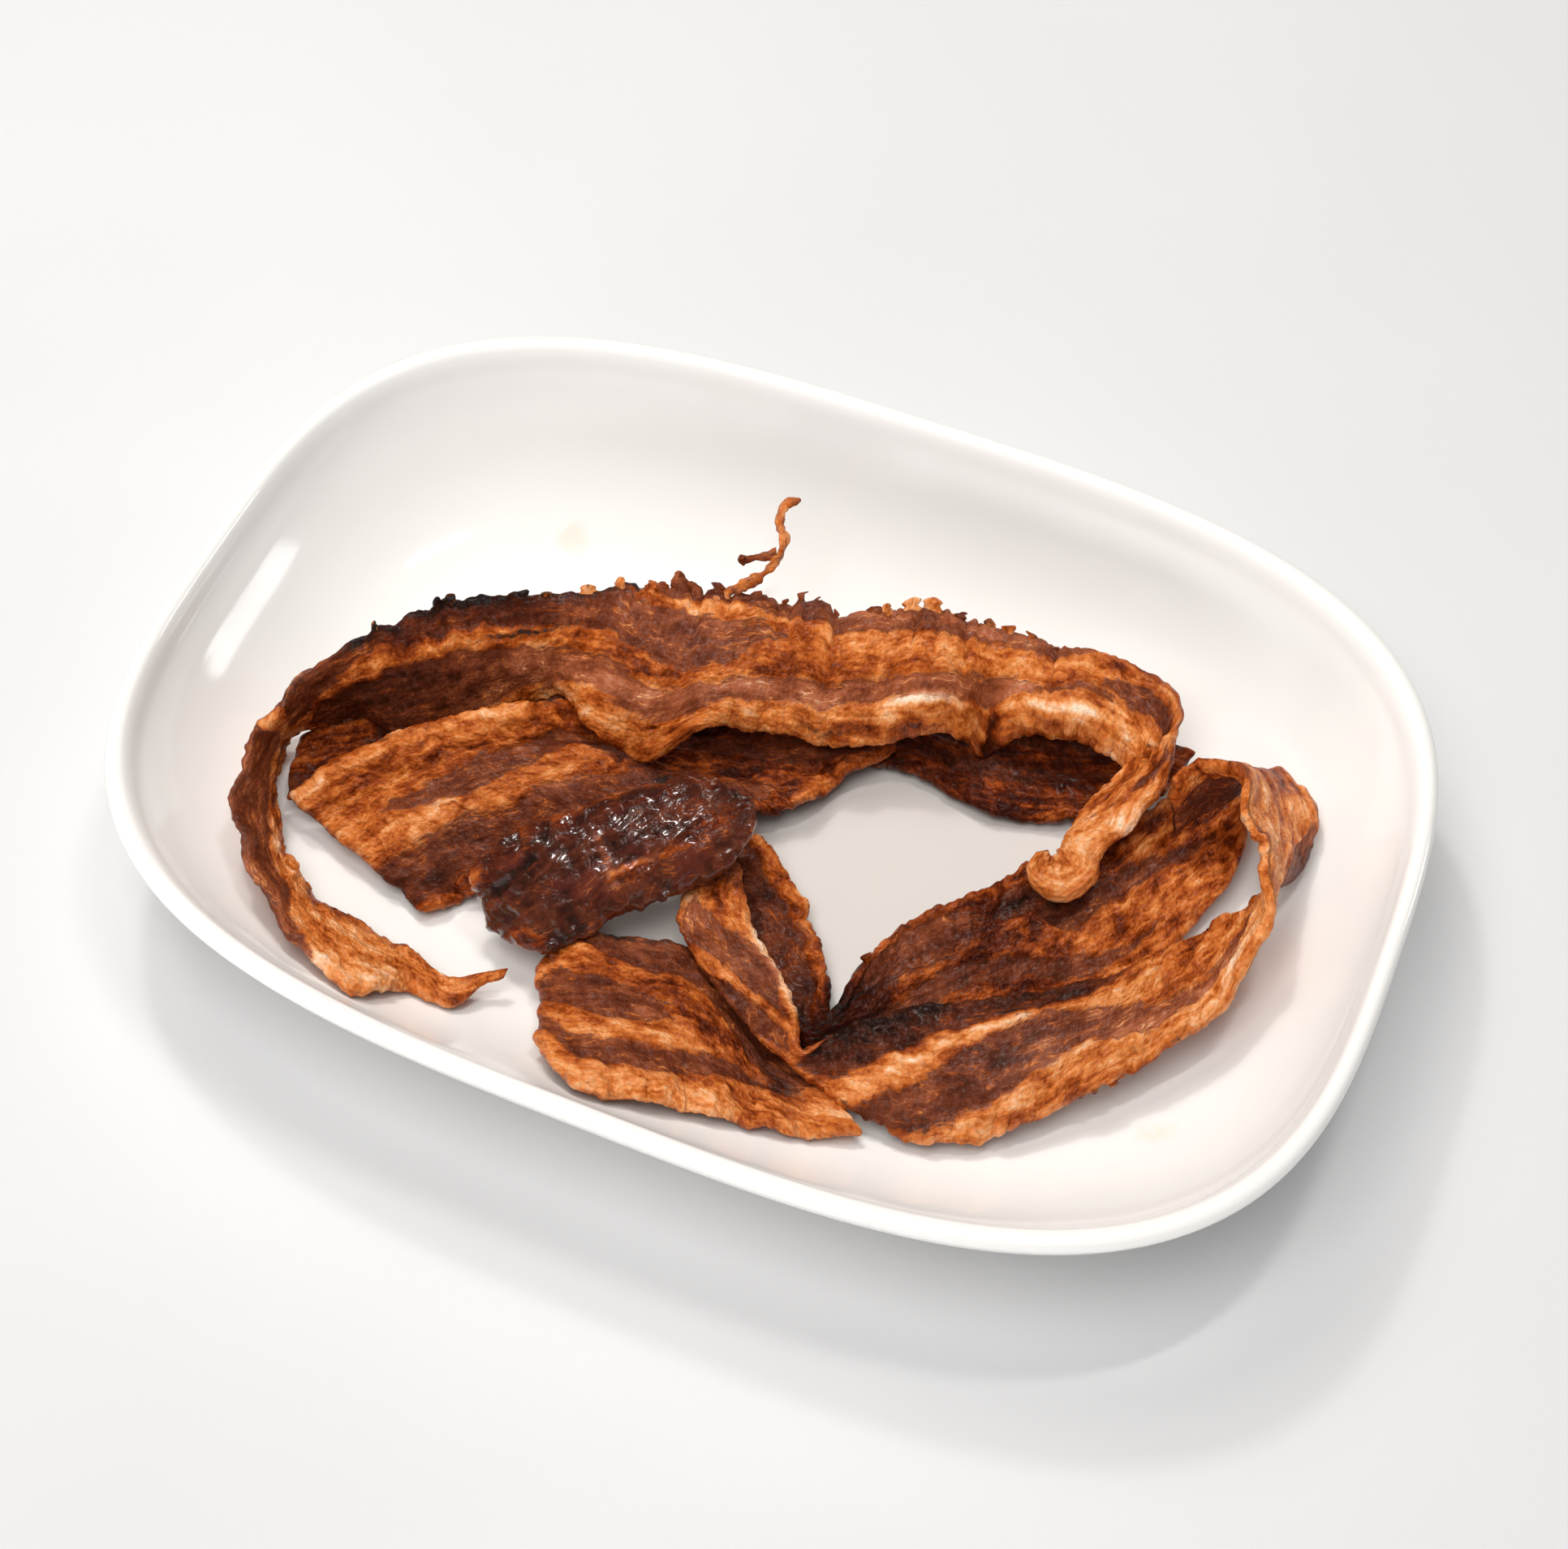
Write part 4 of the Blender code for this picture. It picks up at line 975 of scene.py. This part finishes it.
    plump = net.maths("MULTIPLY_ADD", share, -0.45, 1.0)
    height = total(net.maths("MULTIPLY", streak, 0.14), net.maths("MULTIPLY", granule, 0.70),
                   net.maths("MULTIPLY", fine, 0.30),
                   net.maths("MULTIPLY", net.maths("MULTIPLY", blister, blister), net.maths("MULTIPLY", plump, -0.60)),
                   net.maths("MULTIPLY", cross, 0.25), net.maths("MULTIPLY", share, -0.08))
    net.put(net.shader.inputs["Normal"], net.bump(height, bumpy, 0.9))
    net.shader.inputs["Subsurface Weight"].default_value = 0.10
    net.shader.inputs["Subsurface Radius"].default_value = (1.0, 0.30, 0.10)
    net.shader.inputs["Subsurface Scale"].default_value = 0.0012
    net.shader.inputs["IOR"].default_value = 1.45
    # Fat sits on the high grains and in the wet patches, and glints there.
    shine = net.between(granule, 0.46, 0.66, specular * 0.45, specular * 2.2)
    shine = net.maths("MULTIPLY_ADD", wet, 0.30, shine)
    net.put(net.shader.inputs["Specular IOR Level"], net.maths("MINIMUM", shine, 1.0))
    net.shader.inputs["Coat Weight"].default_value = coat
    net.shader.inputs["Coat Roughness"].default_value = coat_roughness
    return net.material


def porcelain_material():
    net = Net("white_glaze")
    place = net.tree.nodes.new("ShaderNodeNewGeometry").outputs["Position"]
    cloud = net.noise(place, 3.0, 0.55, scale=22.0)
    fine = net.noise(place, 2.0, 0.5, scale=260.0)
    grease = net.attribute("grease")
    bare = net.attribute("bare")
    colour = net.ramp(cloud, ((0.30, (0.920, 0.905, 0.882)), (0.70, (0.945, 0.935, 0.916))))
    # The middle of the floor, under and between the strips, is painted greyer: painted shade from the strips around it.
    spread = net.tree.nodes.new("ShaderNodeVectorMath")
    spread.operation = "MULTIPLY"
    net.link(place, spread.inputs[0])
    spread.inputs[1].default_value = (1 / 0.092, 1 / 0.052, 0.0)
    reach = net.tree.nodes.new("ShaderNodeVectorMath")
    reach.operation = "LENGTH"
    net.link(spread.outputs[0], reach.inputs[0])
    inner = net.between(net.maths("MULTIPLY_ADD", cloud, 0.25, reach.outputs["Value"]), 0.75, 1.15, 1.0, 0.0)
    colour = net.mix(net.maths("MULTIPLY", inner, 0.90), colour, (0.700, 0.655, 0.620))
    film = net.between(net.maths("MULTIPLY_ADD", net.maths("SUBTRACT", net.noise(place, 4.0, 0.6, scale=120.0), 0.5), 1.6, grease), 0.35, 0.9)
    colour = net.mix(net.maths("MULTIPLY", film, 0.30), colour, (0.80, 0.66, 0.42))
    clay = net.ramp(fine, ((0.35, (0.66, 0.62, 0.56)), (0.65, (0.76, 0.72, 0.66))))
    colour = net.mix(bare, colour, clay)
    net.put(net.shader.inputs["Base Color"], colour)
    rough = net.maths("MULTIPLY_ADD", cloud, 0.06, 0.05)
    rough = net.maths("MULTIPLY_ADD", bare, 0.55, rough)
    net.put(net.shader.inputs["Roughness"], rough)
    height = net.maths("MULTIPLY_ADD", net.noise(place, 2.0, 0.5, scale=45.0), 1.0, net.maths("MULTIPLY", film, 0.25))
    net.put(net.shader.inputs["Normal"], net.bump(height, 0.0004, 0.12))
    net.shader.inputs["IOR"].default_value = 1.5
    return net.material


def cloth_material():
    net = Net("pale_floor")
    place = net.tree.nodes.new("ShaderNodeNewGeometry").outputs["Position"]
    cloud = net.noise(place, 3.0, 0.5, scale=6.0)
    colour = net.ramp(cloud, ((0.3, (0.735, 0.740, 0.752)), (0.7, (0.765, 0.770, 0.782))))
    net.put(net.shader.inputs["Base Color"], colour)
    net.shader.inputs["Roughness"].default_value = 0.8
    net.put(net.shader.inputs["Normal"], net.bump(net.noise(place, 2.0, 0.5, scale=400.0), 0.0003, 0.15))
    return net.material


# ==================================================================== the dish
INNER = (
    (1.9, 0.0), (3.1, 0.4), (3.8, 1.6), (5.4, 6.2), (8.2, 11.1), (12.6, 16.6),
    (18.5, 22.1), (25.5, 26.6), (33.5, 29.4), (44.0, 30.4), (58.0, 30.5),
)
OUTER = (
    (31.0, 33.6), (24.5, 30.6), (16.0, 25.4), (9.8, 19.6), (5.2, 13.8), (2.1, 8.6),
    (0.4, 4.0), (0.0, 1.9), (0.7, 0.5), (1.9, 0.0),
)


def profile(points, step):
    points = np.asarray(points, float)
    spacing = np.concatenate([[0.0], np.cumsum(np.linalg.norm(np.diff(points, axis=0), axis=1))])
    return hermite(points, spacing, max(3, int(spacing[-1] / step)))


def dish_level(inset, depth, shrink, segments):
    a, b = DISH_LENGTH / 2 - inset, DISH_WIDTH / 2 - inset
    share = min(max(inset, 0.0) / ROUNDING_INSET, 1.0)
    n = RIM_SQUARENESS + (FLOOR_SQUARENESS - RIM_SQUARENESS) * share
    turn = 2 * math.pi * np.arange(segments) / segments
    c, s = np.cos(turn), np.sin(turn)
    r = (np.abs(c) ** n + np.abs(s) ** n) ** (-1 / n)
    return np.stack([a * r * c * shrink, b * r * s * shrink, np.full(segments, DISH_HEIGHT - depth)], axis=-1)


def build_dish():
    segments = 256
    levels, bare = [], []
    floor_depth = DISH_HEIGHT - FLOOR_TOP

    def level(inset, depth, shrink=1.0, clay=0.0):
        levels.append(dish_level(inset, depth, shrink, segments))
        bare.append(np.full(segments, clay))

    for shrink in (0.02, 0.2, 0.4, 0.6, 0.8, 0.93):
        level(58.0, floor_depth, shrink)
    inner = profile(INNER, 0.9)[::-1]
    for inset, depth in inner:
        level(inset, depth)
    outer = profile(OUTER, 0.9)[::-1]
    for inset, depth in outer[1:]:
        level(inset, depth)
    foot = DISH_HEIGHT
    for inset, depth, clay in (
        (FOOT_INSET + 0.1, foot - 1.0, 0.0), (FOOT_INSET + 0.3, foot - 0.35, 0.6), (FOOT_INSET + 0.9, foot, 1.0),
        (FOOT_INSET + FOOT_WIDTH - 0.9, foot, 1.0), (FOOT_INSET + FOOT_WIDTH - 0.3, foot - 0.35, 0.6),
        (FOOT_INSET + FOOT_WIDTH, foot - FOOT_RISE * 0.8, 0.0), (FOOT_INSET + FOOT_WIDTH + 0.6, foot - FOOT_RISE, 0.0),
        (48.0, foot - FOOT_RISE, 0.0), (58.0, foot - FOOT_RISE, 0.0),
    ):
        level(inset, depth, 1.0, clay)
    for shrink in (0.6, 0.2, 0.02):
        level(58.0, foot - FOOT_RISE, shrink)
    rings = np.stack(levels)
    points, faces = lofted(rings)
    if volume_of(points, faces) < 0:
        faces = faces[:, ::-1]
    thing = mesh_object("porcelain_dish", points, faces, porcelain_material())
    layer = thing.data.attributes.new("bare", "FLOAT", "POINT")
    layer.data.foreach_set("value", np.concatenate(bare).astype(np.float32))
    # Grease lies under and beside the strips, and in one small pool; the spot on the left wall at (-100, 5) is partly
    # grease, partly a painted reflection of the bacon beside it.
    p = points
    grease = np.zeros(len(p))
    inside = smooth(p[:, 2], FLOOR_TOP - 1, FLOOR_TOP - 0.2)
    for x, y, reach, strength in GREASE:
        grease += strength * np.exp(-((p[:, 0] - x) ** 2 + (p[:, 1] - y) ** 2) / reach**2)
    layer = thing.data.attributes.new("grease", "FLOAT", "POINT")
    layer.data.foreach_set("value", (grease * inside).astype(np.float32))
    return thing


GREASE = ((-70, 52, 5, 0.9), (-60, -60, 8, 0.5), (30, -5, 7, 0.45), (-20, 40, 9, 0.5), (98, -40, 5, 0.5), (-100, 5, 6, 0.4))

# ================================================================= build it all
bacon = bacon_material("fried_bacon", 0.05, 0.14, 0.28, 0.46, 0.06, 0.00055)
glazed = bacon_material("glazed_bacon", 0.75, 0.09, 0.18, 0.36, 0.55, 0.00030)
for order, name in enumerate(STRIPS):
    seed = 11 + 7 * order
    made = strip_arrays(name, seed)
    cells = Cells()
    points, faces = lofted(made["rings"])
    cells.add(points, faces, made["grain"].reshape(-1, 3), **{k: v for k, v in made["cells"].items()})

    def at(run_mm, far_side=True):
        i = int(np.argmin(np.abs(made["run"] - run_mm)))
        base = (made["far"] if far_side else made["near"])[i]
        out = -made["out"][i] if far_side else made["out"][i]
        k = 0 if far_side else -1
        return base, out, made["normal"][i, k], made["tangent"][i]

    if name == "strip_long":
        tube(cells, SHRED, 1.30, 0.62, 501, lean=-0.1, tone=0.5, char=0.1, wet=0.2)
        tube(cells, SHRED_BRANCH, 1.15, 0.65, 521, lean=0.3, tone=0.0, char=0.15, wet=0.2)
        torn = (
            (121.0, 1.9, 1.4, -0.3, 0.4, 0.7), (135.5, 2.3, 2.8, 0.0, 0.2, 0.8), (138.5, 1.6, 2.4, 0.5, 0.0, 0.7),
            (152.0, 1.6, 2.2, 0.2, 0.0, 0.8), (155.5, 1.4, 3.0, 0.0, 0.2, 0.6), (163.0, 1.8, 3.6, -0.8, 0.3, 0.1),
            (168.0, 2.0, 3.2, -1.0, 0.5, 0.1), (173.5, 2.6, 3.4, -0.8, 0.4, 0.1), (178.0, 1.8, 3.0, 0.6, 0.2, 0.1),
            (182.5, 3.8, 4.2, 1.0, 0.1, 0.0), (186.0, 3.4, 3.2, 1.0, 0.3, 0.0), (190.5, 2.4, 3.4, 1.0, -0.1, 0.1),
            (195.0, 1.5, 2.2, 1.0, 0.1, 0.1), (199.0, 1.3, 1.8, 1.0, 0.3, 0.1), (205.5, 1.7, 1.5, 1.0, 0.1, 0.1),
            (209.0, 1.9, 1.6, 1.0, 0.2, 0.0), (212.0, 1.4, 1.5, 1.0, 0.2, 0.0), (215.5, 1.6, 1.4, 1.0, 0.2, 0.0),
            (222.0, 2.2, 2.4, 1.0, 0.2, 0.0), (226.5, 2.6, 4.2, -0.6, 0.6, 0.0), (231.5, 2.8, 4.6, -0.9, 0.7, 0.0),
            (236.5, 2.4, 4.4, -0.7, 0.6, 0.0), (243.0, 1.6, 2.6, 1.0, 0.0, 0.2), (249.0, 1.7, 2.8, 0.2, 0.3, 0.3),
            (253.5, 2.2, 2.6, -0.5, 0.5, 0.2), (258.0, 1.7, 2.4, 0.0, 0.4, 0.4), (263.0, 1.3, 2.2, 1.0, 0.0, 0.2),
        )
        for k, (run_mm, length, width, lean, tone, char) in enumerate(torn):
            base, out, up, along = at(run_mm)
            lean_over = 0.5 * lattice(np.array([k]), np.array([3]), 77)[0]
            rise = 0.35 + 0.4 * lattice(np.array([k]), np.array([5]), 78)[0]
            tuft(cells, base - out * 0.8, out + up * rise + along * lean_over, up, length + 0.8, width, 1.5,
                 600 + 5 * k, lean=lean, tone=tone, char=char, wet=0.3)
    if name == "strip_looped":
        base, out, up, along = at(116.0, False)
        tuft(cells, base - out * 0.6, out * 0.9 - up * 0.3, up, 3.6, 1.7, 1.2, 700, lean=-0.4, tone=-0.1, char=0.35, wet=0.3)
        base, out, up, along = at(111.0, False)
        tuft(cells, base - out * 0.6, out, up, 2.0, 1.4, 1.0, 705, lean=-0.4, tone=0.1, char=0.5, wet=0.3)
    if name == "strip_back":
        base, out, up, along = at(60.0)
        tuft(cells, base - out * 0.6, out + up * 1.2, up, 3.2, 1.6, 1.2, 720, lean=-0.4, tone=0.1, char=0.1, wet=0.3)
    piece = cells.build(
        name.replace("strip", "bacon"), glazed if name == "strip_glazed" else bacon
    )
    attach(piece, "root")
    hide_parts(name)

dish = build_dish()
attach(dish, "root")
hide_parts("dish")

# ======================================================= floor, light and camera
floor = bpy.data.meshes.new("floor")
floor.from_pydata([(-2.5, -2.5, -0.00005), (2.5, -2.5, -0.00005), (2.5, 2.5, -0.00005), (-2.5, 2.5, -0.00005)], [], [(0, 1, 2, 3)])
floor.materials.append(cloth_material())
floor = bpy.data.objects.new("floor", floor)
bpy.context.scene.collection.objects.link(floor)


def lamp(name, place, target, size, power, colour):
    data = bpy.data.lights.new(name, "AREA")
    data.shape = "RECTANGLE"
    data.size, data.size_y = size
    data.energy = power
    data.color = colour
    thing = bpy.data.objects.new(name, data)
    thing.location = place
    thing.rotation_mode = "QUATERNION"
    thing.rotation_quaternion = (Vector(target) - Vector(place)).to_track_quat("-Z", "Y")
    bpy.context.scene.collection.objects.link(thing)
    return thing


# Three window panes give the bright glints, the broad lamps only soft light.
lamp("window_right", (0.85, 0.60, 0.28), (-0.115, 0.005, 0.02), (0.13, 0.24), 0.7, (1, 1, 1))
lamp("window_top", (0.11, 0.24, 1.10), (-0.095, 0.035, 0.01), (0.04, 0.15), 1.3, (1.0, 0.98, 0.95))
lamp("window_beside", (0.18, 0.31, 1.08), (-0.095, 0.035, 0.01), (0.04, 0.12), 0.9, (1.0, 0.98, 0.95))
lamp("window_left", (-0.42, 0.44, 0.92), (0, 0, 0.01), (0.09, 0.09), 2.3, (1.0, 0.96, 0.91))
for lamp_made in (
    lamp("key", (-0.42, 0.40, 0.95), (0, 0, 0.01), (0.55, 0.50), 3.8, (1.0, 0.95, 0.89)),
    lamp("soft", (-0.06, -0.38, 1.12), (0, 0, 0), (0.72, 0.65), 7.2, (1.0, 0.985, 0.97)),
    lamp("low_fill", (-0.05, -1.5, 0.20), (0, 0, 0.03), (1.2, 0.34), 11.0, (1.0, 0.99, 0.98)),
    lamp("low_left", (-1.30, -0.20, 0.75), (0, 0, 0), (0.8, 0.6), 1.2, (1.0, 0.97, 0.94)),
):
    lamp_made.visible_glossy = False

world = bpy.data.worlds.new("soft_sky")
world.use_nodes = True
world.node_tree.nodes["Background"].inputs[0].default_value = (1.0, 0.99, 0.98, 1.0)
world.node_tree.nodes["Background"].inputs[1].default_value = 0.11
bpy.context.scene.world = world
bpy.context.scene.view_settings.view_transform = "Standard"

ELEVATION, AZIMUTH, AWAY = math.radians(55.84), math.radians(22.94), 0.520
back = Vector((
    math.sin(AZIMUTH) * math.cos(ELEVATION),
    -math.cos(AZIMUTH) * math.cos(ELEVATION),
    math.sin(ELEVATION),
))
camera = bpy.data.cameras.new("camera")
camera.sensor_width = 36.0
camera.lens = 60.2
camera = bpy.data.objects.new("camera", camera)
camera.location = Vector((0.00625, -0.00759, DISH_HEIGHT * MM)) + back * AWAY
camera.rotation_mode = "QUATERNION"
camera.rotation_quaternion = (-back).to_track_quat("-Z", "Y")
bpy.context.scene.collection.objects.link(camera)
bpy.context.scene.camera = camera
